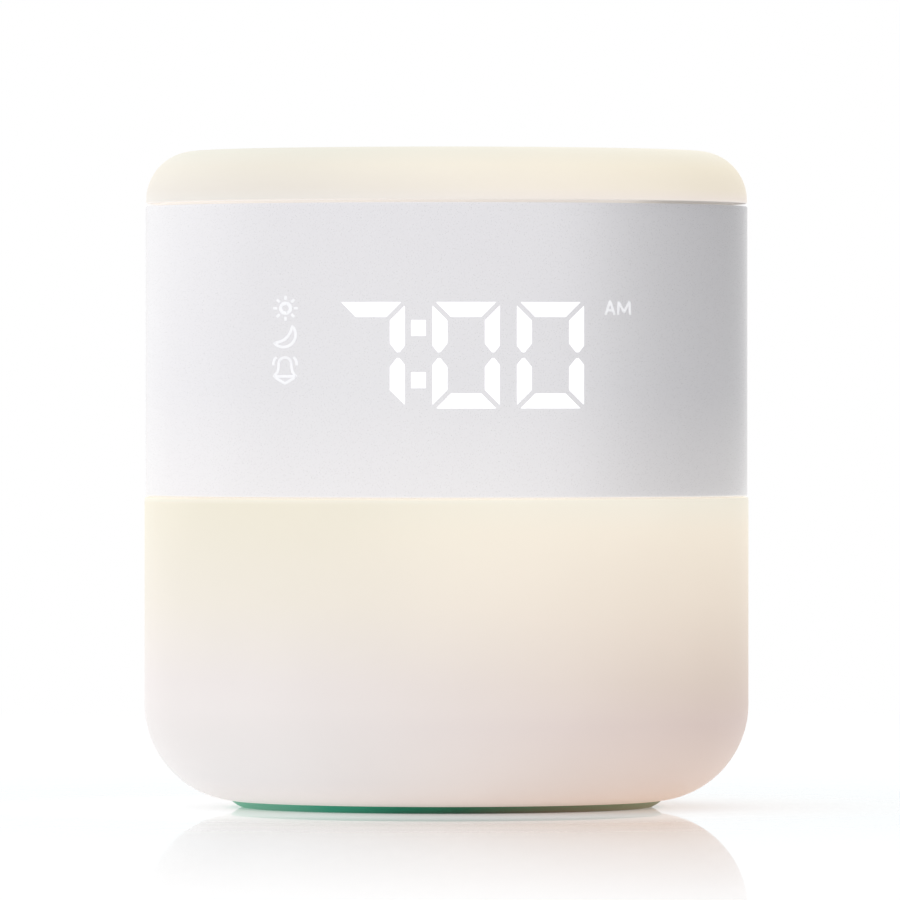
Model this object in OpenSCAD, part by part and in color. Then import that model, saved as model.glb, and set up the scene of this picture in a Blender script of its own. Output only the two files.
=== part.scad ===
// Bedside alarm clock for children with a night light: a drum with a glowing lower body,
// a pearl display band and a glowing cap that is pressed for snooze.
// Millimetres. +Z is up, the display faces -Y, the origin is where the axis meets the table.

/* [Drum] */
// Overall height
body_h = 122; // [112:0.5:132]
// Outer radius of the display band
band_r = 56; // [54:0.1:60]
// How far the lower diffuser stands proud of the band, on the radius
diffuser_proud = 0.2; // [0:0.05:0.4]
// How far the cap is set back from the band, on the radius
cap_setback = 0.1; // [0:0.05:0.4]
// Wall of the diffuser, the band and the cap
wall = 2.2; // [1.8:0.1:2.6]
// Height of the underside above the table
foot_h = 1.2; // [1:0.1:2]
// Height of the band, from seam to seam
band_h = 54.2; // [52:0.2:58]
// Depth of the cap's visible side, from the seam to the top
cap_h = 10; // [9.6:0.1:12]
// Bottom corner radius of the diffuser
low_fillet = 18; // [16:0.1:19]
// Top corner radius of the cap
top_fillet = 9.1; // [6:0.1:9.2]
// Hairline between the diffuser and the band
seam_gap = 0.2; // [0.1:0.05:0.4]

/* [Snooze cap] */
// Travel of the cap
cap_travel = 0.4; // [0.2:0.05:0.5]
// Extra room under the cap's rim at full travel
cap_rest_gap = 0.1; // [0.05:0.05:0.3]
// Depth of the skirt that slides inside the band
skirt_h = 5; // [4:0.1:5.4]
// Wall of the skirt
skirt_w = 1.8; // [1.4:0.1:2.2]
// Radius of the three guide posts' circle
post_ring_r = 40; // [38:0.5:42]
// Radius of a guide post
post_r = 2.2; // [1.8:0.1:2.6]
// Mean radius of a return spring
spring_r = 3.4; // [3.2:0.1:4]
// Radius of the spring wire
spring_wire_r = 0.35; // [0.25:0.05:0.4]
// Turns in a return spring
spring_turns = 4.5; // [3:0.5:6]

/* [Foot and base] */
// Outer radius of the foot ring
foot_r = 40; // [39:0.1:41]
// Width of the foot ring
foot_w = 3.6; // [3:0.1:4.5]
// Width of the lip that the base plate traps
lip_w = 1.5; // [1:0.1:2]
// Width of a sound notch under the foot
notch_w = 9; // [6:0.5:12]
// Thickness of the base plate
base_t = 2; // [1.6:0.1:2.6]
// Thickness of the diffuser's floor over the base plate
floor_t = 2; // [1.6:0.1:2.4]
// Radius of the opening in the diffuser's floor
bore_r = 31.5; // [31.2:0.1:33]
// Radius of the circle of case screws in the base
base_screw_ring_r = 27.6; // [27.2:0.1:27.8]

/* [Display] */
// Height of a digit
digit_h = 19.7; // [18:0.1:21]
// Width of a digit
digit_w = 12.6; // [12:0.1:13]
// Width of a segment
stroke = 3.1; // [2.6:0.1:3.3]
// Gap between two segments, measured across it
segment_gap = 0.7; // [0.4:0.05:0.9]
// Distance from one digit to the next
digit_pitch = 15.3; // [15.1:0.1:15.7]
// Distance from the middle of the colon to the middle of the digit on each side
colon_pitch = 8.8; // [8.6:0.1:9.2]
// Half the distance between the colon's dots
dot_offset = 4.7; // [3.5:0.1:6]
// Sideways place of the colon
colon_x = -5.1; // [-6:0.1:-4.5]
// How far the middle of the digits lies under the middle of the band
digit_drop = 1.2; // [0.5:0.1:2]
// How far a segment's light pipe stands proud of the band
pipe_proud = 0.05; // [0.02:0.01:0.1]

/* [Rear controls] */
// Width of the rear control panel
panel_w = 46; // [44:0.5:48]
// Height of the rear control panel
panel_h = 36; // [35:0.5:38]
// How far the middle of the control panel lies under the middle of the band
panel_drop = 1.9; // [1:0.1:2.5]
// How far the panel is sunk below the band's surface
panel_sink = 1; // [0.6:0.1:1.4]
// Radius of a key
key_r = 4.6; // [4:0.1:5]
// Travel of a key
key_travel = 0.4; // [0.2:0.05:0.5]
// Sideways distance between keys
key_pitch_x = 13; // [12.5:0.1:14]
// Height between the two rows of keys
key_pitch_z = 12; // [12:0.1:13]

/* [Battery and speaker] */
// Radius of the battery door
door_r = 12.3; // [12:0.1:12.5]
// Distance of the battery door's axis from the clock's axis
door_y = 17.2; // [17:0.1:17.4]
// Radius of the back-up coin cell
cell_r = 10; // [9:0.1:10]
// Thickness of the back-up coin cell
cell_t = 3.2; // [2:0.1:3.2]
// Radius of the speaker
speaker_r = 15; // [13.5:0.1:15]
// Distance of the speaker's axis from the clock's axis
speaker_y = 13.4; // [13.2:0.1:13.4]

/* [Fits] */
// Clearance round a piece that is fixed in another
fit = 0.1; // [0.05:0.05:0.15]
// Clearance round a piece that moves
slip = 0.25; // [0.15:0.05:0.3]

/* [Hidden] */

$fn = 96;
eps = 0.01;
cut = 1;   // how far a cutting shape runs past the surface that it cuts

// Drum
diffuser_r = band_r + diffuser_proud;
cap_r = band_r - cap_setback;
band_in_r = band_r - wall;
chamber_r = diffuser_r - wall;
top_seam_z = body_h - cap_h;
low_seam_z = top_seam_z - band_h;
seam_half = (cap_travel + cap_rest_gap) / 2;
band_top_z = top_seam_z - seam_half;
cap_rim_z = top_seam_z + seam_half;
band_foot_z = low_seam_z + seam_gap / 2;
band_mid_z = (low_seam_z + top_seam_z) / 2;
rim_z = low_seam_z - seam_gap / 2;
lap_h = 1.6;
lap_w = 1.2;

// Base
base_z = foot_h;
pocket_z = base_z + base_t;
floor_z = pocket_z + floor_t;
pocket_r = foot_r + fit;
plate_r = foot_r - foot_w - fit;
lip_z = pocket_z - 1;
spigot_r = bore_r - fit;
spigot_w = 1.4;
seat_r = 43;

// Frame and decks
drum_r = 32;
drum_w = 1.8;
deck_t = 2;
board_t = 1.6;
led_t = 1.6;
mid_deck_z = rim_z - lap_h - fit - deck_t - 1;
mid_deck_top = mid_deck_z + deck_t;
mid_deck_r = chamber_r - 0.3;
top_deck_z = cap_rim_z - skirt_h - cap_travel - deck_t - 0.6;
top_deck_top = top_deck_z + deck_t;
top_deck_r = band_in_r - 0.3;
top_deck_pad_z = top_deck_z - 1.6;
boss_angles = [20, 160, 200, 340];
boss_ring_r = band_in_r - 3.2;
boss_r = 3.4;
boss_h = 11;
pad_r = 3;

// Boards and lights on the decks
light_board_r = boss_ring_r - 3.6;
light_board_in_r = drum_r + 2.5;
light_ring_r = (light_board_r + light_board_in_r) / 2;
light_screw_ring_r = light_board_r - 2;
light_screw_angles = [for (i = [0 : 3]) 11.25 + 90 * i];
small_pad_r = 2.4;
deck_hole_y = drum_r - 10;
ring_hole_y = light_board_in_r + 2;

// Screws
case_screw_r = 1.25;
case_head_r = 2.2;
case_head_h = 1.6;
case_screw_l = 8;
board_screw_r = 0.9;
board_head_r = 1.8;
board_head_h = 1.2;
board_screw_l = 4.6;
base_angles = [45, 135, 225, 315];

// Display
digit_z = band_mid_z - digit_drop;
hour_x = colon_x - colon_pitch;
tens_x = colon_x + colon_pitch;
unit_x = tens_x + digit_pitch;
hour_tens_x = hour_x - digit_pitch;
box_x0 = hour_tens_x - 4.8;
box_x1 = unit_x + 16.5;
box_back_y = -chord(band_in_r - 0.75, box_x1 + 1);
leg_x = box_x1 - 10.5;
leg_w = 6;
leg_d = 3;
box_rail = 4.6;
box_z0 = digit_z - digit_h / 2 - box_rail;
box_z1 = digit_z + digit_h / 2 + box_rail;
box_front_r = band_in_r - 0.05;
pipe_back_r = band_in_r - 3.3;
pipe_front_r = band_r + pipe_proud;
mitre = segment_gap / sqrt(2);
tip_w = 0.6;
tip_gap = 0.5;
inner_chamfer = 1.5;
outer_chamfer = 1.3;
sign_x = hour_tens_x - 0.15;
sign_zs = [digit_z + 8.7, digit_z + 3.1, digit_z - 2.7];
sign_w = 5.2;
sign_h = 4.9;
meridiem_x = unit_x + 12.1;
meridiem_zs = [digit_z + 8.3, digit_z - 8.3];
meridiem_w = 5.6;
meridiem_h = 3;
display_screw_x = unit_x + 1;

// Rear panel and main board
panel_z = band_mid_z - panel_drop;
panel_r = band_r - panel_sink;
panel_t = 1.8;
panel_in_r = panel_r - panel_t;
panel_corner = 4;
flange_lap = 2;
flange_root = 1.2;
flange_r = band_in_r - fit;
flange_t = 1.5;
main_w = 60;
main_back_y = chord(band_in_r - 3.8, main_w / 2);
main_front_y = main_back_y - board_t;
main_z0 = panel_z - panel_h / 2 - 3;
main_z1 = panel_z + panel_h / 2 + 1;
panel_boss_x = panel_w / 2 - 3;
panel_boss_zs = [panel_z - panel_h / 2 + 3, panel_z + panel_h / 2 - 2.8];
key_top_r = band_r + 0.15;
key_flange_r = key_r + 1;
key_flange_t = 1;
key_stem_r = 2;
key_top_z = panel_z + panel_h / 2 - key_r - 2.6;
key_rows = [key_top_z, key_top_z - key_pitch_z];
switch_w = 6;
switch_t = 3.5;
plunger_r = 1.7;
plunger_h = 1.5;
plunger_sunk = 1.3;
jack_w = 9;
jack_nose_r = 4.4;
jack_z = panel_z - panel_h / 2 + jack_nose_r + 2;
jack_bore_r = 3.1;
jack_pin_r = 1;
jack_depth = 9;
jack_front_y = panel_r - 0.3;
chip_t = 1.2;
controller_w = 10;
driver_x = 16;
driver_w = 5;
driver_h = 6.2;

// Battery
door_flange_t = 1;
door_sink = 0.15;
door_bore_r = door_r - 1.2;
door_ledge_z = base_z + door_flange_t + door_sink + 0.15;
door_ledge_t = 1.4;
lug_t = 1;
lug_angle = 28;
door_turn = 50;
coin_slot = [14, 2, 1.6];
collar_r = door_r + slip + 1.25;
cell_z = floor_z + 0.35;
cell_cup_r = cell_r + 0.2;
cell_cup_w = 1.6;
leaf_w = cell_r * 0.6;
holder_t = 1.2;
holder_ear_r = 16.4;
holder_ear_angles = [35, 145];

// Speaker
grille_r = 11;
slot_w = 1.8;
slot_pitch = 3.2;
gasket_t = 0.8;
speaker_z = pocket_z + gasket_t;
speaker_h = 6.4;
magnet_r = 8.5;
magnet_t = 5.5;

// Top
top_board_r = 31;
top_led_ring_r = 21;
top_screw_ring_r = 28;
top_screw_angles = [30, 150, 270];
top_board_gap = 0.8;
top_hole_y = top_board_r - 5.5;
top_board_z = top_deck_top + top_board_gap;
top_board_top = top_board_z + board_t;
cap_ceiling_z = body_h - wall;
post_angles = [30, 150, 270];
bush_h = 4;
bush_z = top_deck_top - bush_h;
bush_w = 1.8;
post_end_z = bush_z - 0.1;
post_collar_r = post_r + 2.4;
spring_top_z = top_deck_top + 8;
snooze_plunger_h = 1.6;
snooze_z = top_board_top + switch_t;
cap_screw_r = 1;
cap_head_r = post_r + slip + 1.2;
cap_head_h = 1.6;
cap_screw_l = 7;

// Wires, each from where it is soldered to its plug on the main board
wire_r = 0.8;
plug_w = 6;
plug_d = 5;
plug_h = 4;
plug_z = main_z0 + 1.5;
plug_outer_x = 14.5;
plug_inner_x = 8;
wire_plug_y = main_front_y - plug_d;
wire_end_y = wire_plug_y - 0.1;
ribbon_w = 11;
ribbon_t = 0.3;
ribbon_plug_t = 2;
ribbon_plug_w = ribbon_w + 3;
ribbon_plug_h = 2.4;
ribbon_display_z = box_z0 + 3;
ribbon_main_z = panel_z - 6;

function chord(r, x) = sqrt(r * r - x * x);
function unit(v) = v / norm(v);

// ---------------------------------------------------------------- shared shapes

// Half outline of a drum whose bottom corner is rounded
module round_bottom(r, z0, z1, f) {
    translate([0, z0]) square([r - f, z1 - z0]);
    translate([r - f - eps, z0 + f]) square([f + eps, z1 - z0 - f]);
    translate([r - f, z0 + f]) intersection() {
        circle(r = f);
        translate([-eps, -f]) square([f + eps, f]);
    }
}

// Half outline of a drum whose top corner is rounded
module round_top(r, z0, z1, f) {
    translate([0, z0]) square([r - f, z1 - z0]);
    translate([r - f - eps, z0]) square([f + eps, z1 - z0 - f]);
    translate([r - f, z1 - f]) intersection() {
        circle(r = f);
        translate([-eps, 0]) square([f + eps, f]);
    }
}

module tube(r_out, r_in, z0, z1) {
    translate([0, 0, z0]) difference() {
        cylinder(r = r_out, h = z1 - z0);
        translate([0, 0, -cut]) cylinder(r = r_in, h = z1 - z0 + 2 * cut);
    }
}

module rod(r, z0, z1) {
    translate([0, 0, z0]) cylinder(r = r, h = z1 - z0);
}

// A rod along Y, from one y to another
module rod_y(x, z, r, y0, y1) {
    translate([x, y1, z]) rotate([90, 0, 0]) cylinder(r = r, h = y1 - y0);
}

// Copies its children at some angles on a circle about the clock's axis
module around(angles, r) {
    for (a = angles) rotate(a) translate([r, 0, 0]) children();
}

// Takes a drawing in x and z and makes it a bar along Y
module bar_y(y0, y1) {
    translate([0, y1, 0]) rotate([90, 0, 0]) linear_extrude(height = y1 - y0) children();
}

module rounded_rect(w, h, r) {
    square([w - 2 * r, h], center = true);
    square([w, h - 2 * r], center = true);
    for (x = [-1, 1], z = [-1, 1]) translate([x * (w / 2 - r), z * (h / 2 - r)]) circle(r = r);
}

// A flat-headed screw with a cross recess: its head sits at the origin and its shank points up
module screw(r, head_r, head_h, l) {
    rod(r, -eps, l);
    difference() {
        rod(head_r, -head_h, 0);
        for (a = [0, 90]) rotate(a) translate([-head_r * 0.6, -head_r * 0.15, -head_h - cut])
            cube([head_r * 1.2, head_r * 0.3, cut + head_h * 0.6]);
    }
}

module case_screw() { screw(case_screw_r, case_head_r, case_head_h, case_screw_l); }
module board_screw() { screw(board_screw_r, board_head_r, board_head_h, board_screw_l); }

// Smooth curve through hand-placed points
function curve_point(p, i, t) =
    let (n = len(p) - 1, a = p[max(i - 1, 0)], b = p[i], c = p[i + 1], d = p[min(i + 2, n)])
    0.5 * (2 * b + (c - a) * t + (2 * a - 5 * b + 4 * c - d) * t * t
        + (3 * b - a - 3 * c + d) * t * t * t);
function curve(p, steps) = concat(
    [for (i = [0 : len(p) - 2], s = [0 : steps - 1]) curve_point(p, i, s / steps)],
    [p[len(p) - 1]]);

// Sweeps a round wire along a path; across is a direction that the path never takes
module wire(path, r, sides, across) {
    n = len(path);
    rings = [for (i = [0 : n - 1])
        let (t = unit(path[min(i + 1, n - 1)] - path[max(i - 1, 0)]),
             u = unit(cross(across, t)), v = cross(t, u))
        for (k = [0 : sides - 1])
            path[i] + r * (cos(360 * k / sides) * u + sin(360 * k / sides) * v)];
    ends = [[for (k = [0 : sides - 1]) k], [for (k = [sides - 1 : -1 : 0]) (n - 1) * sides + k]];
    skin = [for (i = [0 : n - 2], k = [0 : sides - 1], half = [0, 1])
        let (a = i * sides + k, b = i * sides + (k + 1) % sides)
        half == 0 ? [a, a + sides, b + sides] : [a, b + sides, b]];
    polyhedron(points = rings, faces = concat(ends, skin));
}

// ---------------------------------------------------------------- foot and base

// Silicone ring that the clock stands on; its inner lip is trapped over the base plate's rim
module foot_ring() color("mediumseagreen") difference() {
    rotate_extrude() {
        translate([foot_r - foot_w, 0]) square([foot_w - foot_h, pocket_z]);
        translate([foot_r - foot_h - eps, foot_h]) square([foot_h + eps, pocket_z - foot_h]);
        translate([foot_r - foot_h, foot_h]) intersection() {
            circle(r = foot_h);
            translate([-eps, -foot_h]) square([foot_h + eps, foot_h]);
        }
        translate([foot_r - foot_w - lip_w, lip_z + fit]) square([lip_w + eps, pocket_z - lip_z - fit]);
    }
    for (a = [40, 90, 140]) rotate(a)
        translate([foot_r - foot_w - cut, -notch_w / 2, -cut])
            cube([foot_w + 2 * cut, notch_w, cut + foot_h * 0.75]);
}

module grille_slot(x) {
    l = chord(grille_r, x);
    translate([x, 0]) {
        square([slot_w, 2 * l - slot_w], center = true);
        for (s = [-1, 1]) translate([0, s * (l - slot_w / 2)]) circle(r = slot_w / 2);
    }
}

// Part of a ring; its middle points along +X
module sector(r_in, r_out, z0, z1, angle) {
    rotate(-angle / 2) rotate_extrude(angle = angle)
        translate([r_in, z0]) square([r_out - r_in, z1 - z0]);
}

module base_plate() color("whitesmoke") difference() {
    union() {
        rod(plate_r, base_z, lip_z);
        rod(plate_r - lip_w, base_z, pocket_z);
        tube(spigot_r, spigot_r - spigot_w, pocket_z - eps, floor_z - 2 * fit);
        around(base_angles, base_screw_ring_r) rod(pad_r, pocket_z - eps, floor_z);
        translate([0, -door_y, 0]) {
            rod(collar_r, pocket_z - eps, floor_z);
            around(holder_ear_angles, holder_ear_r) rod(small_pad_r, pocket_z - eps, floor_z);
        }
        translate([0, speaker_y, 0]) {
            tube(speaker_r + 1.2, speaker_r + fit, pocket_z - eps, floor_z);
            for (a = [-30, 90, 210]) rotate(a) {
                sector(speaker_r - 0.5, speaker_r + 1.2, speaker_z + 0.85, floor_z + 0.7, 24);
                sector(speaker_r + fit, speaker_r + 1.2, floor_z - eps, floor_z + 0.7, 24);
            }
        }
    }
    around(base_angles, base_screw_ring_r) {
        rod(case_head_r + fit, base_z - cut, base_z + case_head_h + 0.4);
        rod(case_screw_r + fit, base_z, floor_z + cut);
    }
    translate([0, -door_y, 0]) {
        rod(door_r + slip, base_z - cut, door_ledge_z);
        rod(door_bore_r, base_z, floor_z + cut);
        rod(door_r + slip, door_ledge_z + door_ledge_t, floor_z + cut);
        for (a = [0, 120, 240]) rotate(90 + a + door_turn)
            sector(door_bore_r - 0.5, door_r + fit, base_z, floor_z, lug_angle + 6);
        around(holder_ear_angles, holder_ear_r) rod(board_screw_r, base_z + 0.8, floor_z + cut);
    }
    translate([0, speaker_y, base_z - cut]) linear_extrude(height = base_t + 2 * cut)
        for (i = [-3 : 3]) grille_slot(i * slot_pitch);
}

// Round door with three bayonet lugs and a slot for a coin
module battery_door() color("gainsboro") translate([0, -door_y, 0]) difference() {
    union() {
        rod(door_r, base_z + door_sink, base_z + door_sink + door_flange_t);
        rod(door_bore_r - slip, base_z + door_sink, floor_z - 0.1);
        for (a = [0, 120, 240]) rotate(90 + a)
            sector(door_bore_r - 1, door_r - fit, floor_z - 0.1 - lug_t,
                floor_z - 0.1, lug_angle);
    }
    rod(door_bore_r - slip - 1.4, base_z + door_sink + door_flange_t + 0.8, floor_z);
    translate([0, 0, base_z + door_sink]) cube(coin_slot, center = true);
}

// ---------------------------------------------------------------- back-up cell

module coin_cell() color("silver") translate([0, -door_y, 0]) {
    rod(cell_r, cell_z, cell_z + cell_t - 0.5);
    rod(cell_r - 1.2, cell_z, cell_z + cell_t);
}

// Cup over the door's opening that keeps the cell centred
module cell_holder() color("dimgray") difference() {
    union() {
        intersection() {
            translate([0, -door_y, 0]) rod(collar_r, floor_z, floor_z + holder_t);
            rod(drum_r - drum_w - fit, floor_z, floor_z + holder_t);
        }
        translate([0, -door_y, 0]) {
            rod(cell_cup_r + cell_cup_w, floor_z, cell_z + cell_t + 1 + holder_t);
            around(holder_ear_angles, holder_ear_r) {
                rod(small_pad_r, floor_z, floor_z + holder_t);
                translate([-6, -small_pad_r, floor_z]) cube([6, 2 * small_pad_r, holder_t]);
            }
        }
    }
    translate([0, -door_y, 0]) {
        rod(cell_cup_r, floor_z - cut, cell_z + cell_t + 1);
        around(holder_ear_angles, holder_ear_r)
            rod(board_screw_r + fit, floor_z - cut, floor_z + holder_t + cut);
        translate([2, 2, cell_z + cell_t]) cube([4, 6, 2 * holder_t]);
    }
}

// Leaf on the cell's negative face, and the clip on its rim
module cell_contacts() color("gold") translate([0, -door_y, 0]) {
    translate([-leaf_w / 2, -leaf_w, cell_z + cell_t + 0.1]) cube([leaf_w, 2 * leaf_w, 0.4]);
    translate([-leaf_w / 3, -leaf_w / 3, cell_z + cell_t + 0.3])
        cube([leaf_w / 1.5, leaf_w / 1.5, 0.7]);
    sector(cell_r + 0.02, cell_cup_r - 0.02, cell_z + 0.4, cell_z + cell_t + 0.2, 50);
}

// ---------------------------------------------------------------- speaker

module speaker_gasket() color("black") translate([0, speaker_y, 0])
    tube(speaker_r - fit, grille_r + 1.4, pocket_z, speaker_z);

module speaker_frame() color("dimgray") translate([0, speaker_y, speaker_z]) difference() {
    rotate_extrude() polygon([
        [speaker_r - 2, 0], [speaker_r - 0.05, 0], [speaker_r - 0.05, 0.8], [speaker_r - 1.4, 0.8],
        [speaker_r - 5, speaker_h], [5.2, speaker_h], [5.2, speaker_h - 0.8],
        [speaker_r - 5.6, speaker_h - 0.8]]);
    for (a = [0, 90, 180, 270]) rotate(a + 45)
        translate([speaker_r - 6, -4, 2]) cube([6, 8, speaker_h - 3.4]);
}

module speaker_cone() color("darkslategray") translate([0, speaker_y, speaker_z])
    rotate_extrude() polygon([
        [0, speaker_h - 2.2], [2, speaker_h - 2.4], [4.4, speaker_h - 3],
        [speaker_r - 4.4, 0.5], [speaker_r - 2.5, 0.1], [speaker_r - 2.5, 0.5],
        [speaker_r - 4.3, 0.9], [4.8, speaker_h - 2.6], [4.8, speaker_h], [4.4, speaker_h],
        [4.4, speaker_h - 2.6], [2, speaker_h - 2], [0, speaker_h - 1.8]]);

module speaker_magnet() color("slategray") translate([0, speaker_y, 0])
    rod(magnet_r, speaker_z + speaker_h, speaker_z + speaker_h + magnet_t);

// ---------------------------------------------------------------- lower light

// Opal shell with a thick floor, a pocket for the foot and the base, and a rebated rim
module lower_diffuser() color("antiquewhite") rotate_extrude() difference() {
    round_bottom(diffuser_r, foot_h, rim_z, low_fillet);
    difference() {
        round_bottom(chamber_r, foot_h + wall, rim_z + cut, low_fillet - wall);
        square([seat_r, floor_z]);
    }
    translate([0, -cut]) square([pocket_r, pocket_z + cut]);
    square([bore_r, floor_z + cut]);
    translate([chamber_r - cut, rim_z - lap_h]) square([lap_w + cut + fit, lap_h + cut]);
}

// White frame: a flange on the diffuser's floor, a reflector drum and the deck under the display
module core_frame() color("white") difference() {
    union() {
        rotate_extrude() {
            polygon([[drum_r - drum_w, floor_z], [seat_r - 1, floor_z], [seat_r - 1, floor_z + 1],
                [drum_r, floor_z + 8], [drum_r, mid_deck_z + eps],
                [drum_r - drum_w, mid_deck_z + eps]]);
            translate([0, mid_deck_z]) square([mid_deck_r, deck_t]);
        }
        around(base_angles, base_screw_ring_r) rod(pad_r, floor_z + fit, floor_z + 12);
        around(boss_angles, boss_ring_r) rod(pad_r, mid_deck_top - eps, band_foot_z);
        around(light_screw_angles, light_screw_ring_r)
            rod(small_pad_r, mid_deck_top - eps, mid_deck_top + 3);
    }
    around(base_angles, base_screw_ring_r) rod(case_screw_r, floor_z - cut, floor_z + 11);
    around(boss_angles, boss_ring_r) rod(case_screw_r + fit, mid_deck_z - cut, band_foot_z + cut);
    around(light_screw_angles, light_screw_ring_r)
        rod(board_screw_r, mid_deck_z - cut, mid_deck_top + 2.6);
    for (x = [-plug_outer_x, plug_outer_x])
        translate([x, deck_hole_y, 0]) rod(3, mid_deck_z - cut, mid_deck_top + cut);
    translate([-plug_inner_x, ring_hole_y, 0]) rod(2, mid_deck_z - cut, mid_deck_top + cut);
}

module lower_light_board() color("darkgreen") difference() {
    tube(light_board_r, light_board_in_r, mid_deck_z - board_t, mid_deck_z);
    around(light_screw_angles, light_screw_ring_r)
        rod(board_screw_r + fit, mid_deck_z - board_t - cut, mid_deck_z + cut);
}

module lower_leds() color("lightyellow")
    around([for (i = [0 : 15]) 22.5 * i], light_ring_r)
        translate([-2.5, -2.5, mid_deck_z - board_t - led_t]) cube([5, 5, led_t]);

// ---------------------------------------------------------------- display

// One segment, drawn about the middle of its digit. Segments are named a to g in the usual way.
// Verticals have a mitred outer end and a blunt point at the waist.
module upper_right() {
    x0 = digit_w / 2 - stroke;
    x1 = digit_w / 2;
    top = digit_h / 2 - mitre;
    polygon([[x0 + inner_chamfer, tip_gap], [x0 + inner_chamfer + tip_w, tip_gap],
        [x1, tip_gap + outer_chamfer], [x1, top], [x0, top - stroke],
        [x0, tip_gap + inner_chamfer]]);
}

module top_bar() {
    x = digit_w / 2 - mitre;
    y = digit_h / 2;
    polygon([[-x, y], [x, y], [x - stroke, y - stroke], [stroke - x, y - stroke]]);
}

module middle_bar() {
    h = inner_chamfer - 0.1;
    x = digit_w / 2 - stroke + inner_chamfer + tip_gap - mitre * 2;
    polygon([[-x, 0], [h - x, h], [x - h, h], [x, 0], [x - h, -h], [h - x, -h]]);
}

module segment(name) {
    if (name == "a") top_bar();
    if (name == "b") upper_right();
    if (name == "c") mirror([0, 1]) upper_right();
    if (name == "d") mirror([0, 1]) top_bar();
    if (name == "e") mirror([1, 0]) mirror([0, 1]) upper_right();
    if (name == "f") mirror([1, 0]) upper_right();
    if (name == "g") middle_bar();
}

module digit(x, names) {
    translate([x, digit_z]) for (n = names) segment(n);
}

module lit_segments() {
    digit(hour_x, "abc");
    digit(tens_x, "abcdef");
    digit(unit_x, "abcdef");
    for (s = [-1, 1]) translate([colon_x, digit_z + s * dot_offset])
        square(stroke - 0.1, center = true);
}

module dark_segments() {
    digit(hour_tens_x, "bc");
    digit(hour_x, "defg");
    digit(tens_x, "g");
    digit(unit_x, "g");
}

// What lies between two radii at the front of the drum
module front_layer(r_out, r_in) {
    intersection() {
        bar_y(-r_out - cut, box_back_y) children();
        tube(r_out, r_in, box_z0 - cut, box_z1 + cut);
    }
}

module lit_light_pipes() color("white") front_layer(pipe_front_r, pipe_back_r) lit_segments();
module dark_light_pipes() color("lavender") front_layer(band_r, pipe_back_r) dark_segments();

// Pearl band with a window for each segment and the opening for the rear panel
module display_band() color("ghostwhite") difference() {
    union() {
        rotate_extrude() {
            translate([band_in_r, band_foot_z]) square([wall, band_top_z - band_foot_z]);
            translate([band_in_r, rim_z - lap_h + fit])
                square([diffuser_r - wall + lap_w - band_in_r, lap_h + seam_gap]);
        }
        around(boss_angles, boss_ring_r) {
            rod(boss_r, band_foot_z, band_foot_z + boss_h);
            rod(boss_r, top_deck_pad_z - boss_h, top_deck_pad_z);
        }
    }
    around(boss_angles, boss_ring_r) {
        rod(case_screw_r, band_foot_z - cut, band_foot_z + boss_h - 1);
        rod(case_screw_r, top_deck_pad_z - boss_h + 1, top_deck_pad_z + cut);
    }
    bar_y(-band_r - cut, box_back_y - cut) { lit_segments(); dark_segments(); }
    bar_y(main_back_y, band_r + cut) panel_outline(fit);
}

// White block with a light channel for each segment and sign, standing on the deck on two legs
module light_box() color("white") difference() {
    intersection() {
        union() {
            bar_y(-band_r, box_back_y) translate([box_x0, box_z0])
                square([box_x1 - box_x0, box_z1 - box_z0]);
            for (x = [-leg_x, leg_x]) translate([x - leg_w / 2, box_back_y - leg_d, mid_deck_top])
                cube([leg_w, leg_d, box_z0 - mid_deck_top + cut]);
        }
        rod(box_front_r, 0, body_h);
    }
    bar_y(-band_r - cut, box_back_y + cut) {
        lit_segments();
        dark_segments();
        for (z = sign_zs) translate([sign_x, z]) square([sign_w, sign_h], center = true);
        for (z = meridiem_zs) translate([meridiem_x, z])
            square([meridiem_w, meridiem_h], center = true);
    }
    display_screws() rod(board_screw_r, board_t - cut, board_t + board_screw_l);
}

// Places of the screws that hold the display board, pointing to the front
module display_screws() {
    for (x = [-display_screw_x, display_screw_x], z = [box_z0 + 2.2, box_z1 - 2.2])
        translate([x, box_back_y + board_t, z]) rotate([90, 0, 0]) children();
}

module display_board() color("darkgreen") difference() {
    translate([box_x0 - 0.5, box_back_y, box_z0 - 1])
        cube([box_x1 - box_x0 + 1, board_t, box_z1 - box_z0 + 2]);
    display_screws() rod(board_screw_r + fit, -cut, board_t + cut);
}

module display_led(x, z) {
    translate([x - 0.8, box_back_y - 0.6, z - 0.4]) cube([1.6, 0.6, 0.8]);
}

// One small LED behind the middle of each segment, dot and sign
module display_leds() color("lightyellow") {
    side = (digit_w - stroke) / 2;
    high = digit_h / 4;
    for (x = [hour_x, tens_x, unit_x]) {
        for (z = [-1, 0, 1]) display_led(x, digit_z + z * (digit_h - stroke) / 2);
        for (s = [-1, 1], t = [-1, 1]) display_led(x + s * side, digit_z + t * high);
    }
    for (t = [-1, 1]) {
        display_led(hour_tens_x + side, digit_z + t * high);
        display_led(colon_x, digit_z + t * dot_offset);
    }
    for (z = sign_zs) display_led(sign_x, z);
    for (z = meridiem_zs) display_led(meridiem_x, z);
}

// ---------------------------------------------------------------- rear controls

// Where the inner face of the panel lies over a key's flange
function key_back_y(x) = chord(panel_in_r, abs(x) + key_flange_r) - 0.3;

module at_keys() {
    for (x = [-1, 0, 1], z = key_rows) translate([x * key_pitch_x, 0, z]) children();
}

module panel_outline(grow) {
    translate([0, panel_z])
        rounded_rect(panel_w + 2 * grow, panel_h + 2 * grow, panel_corner + grow);
}

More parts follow.
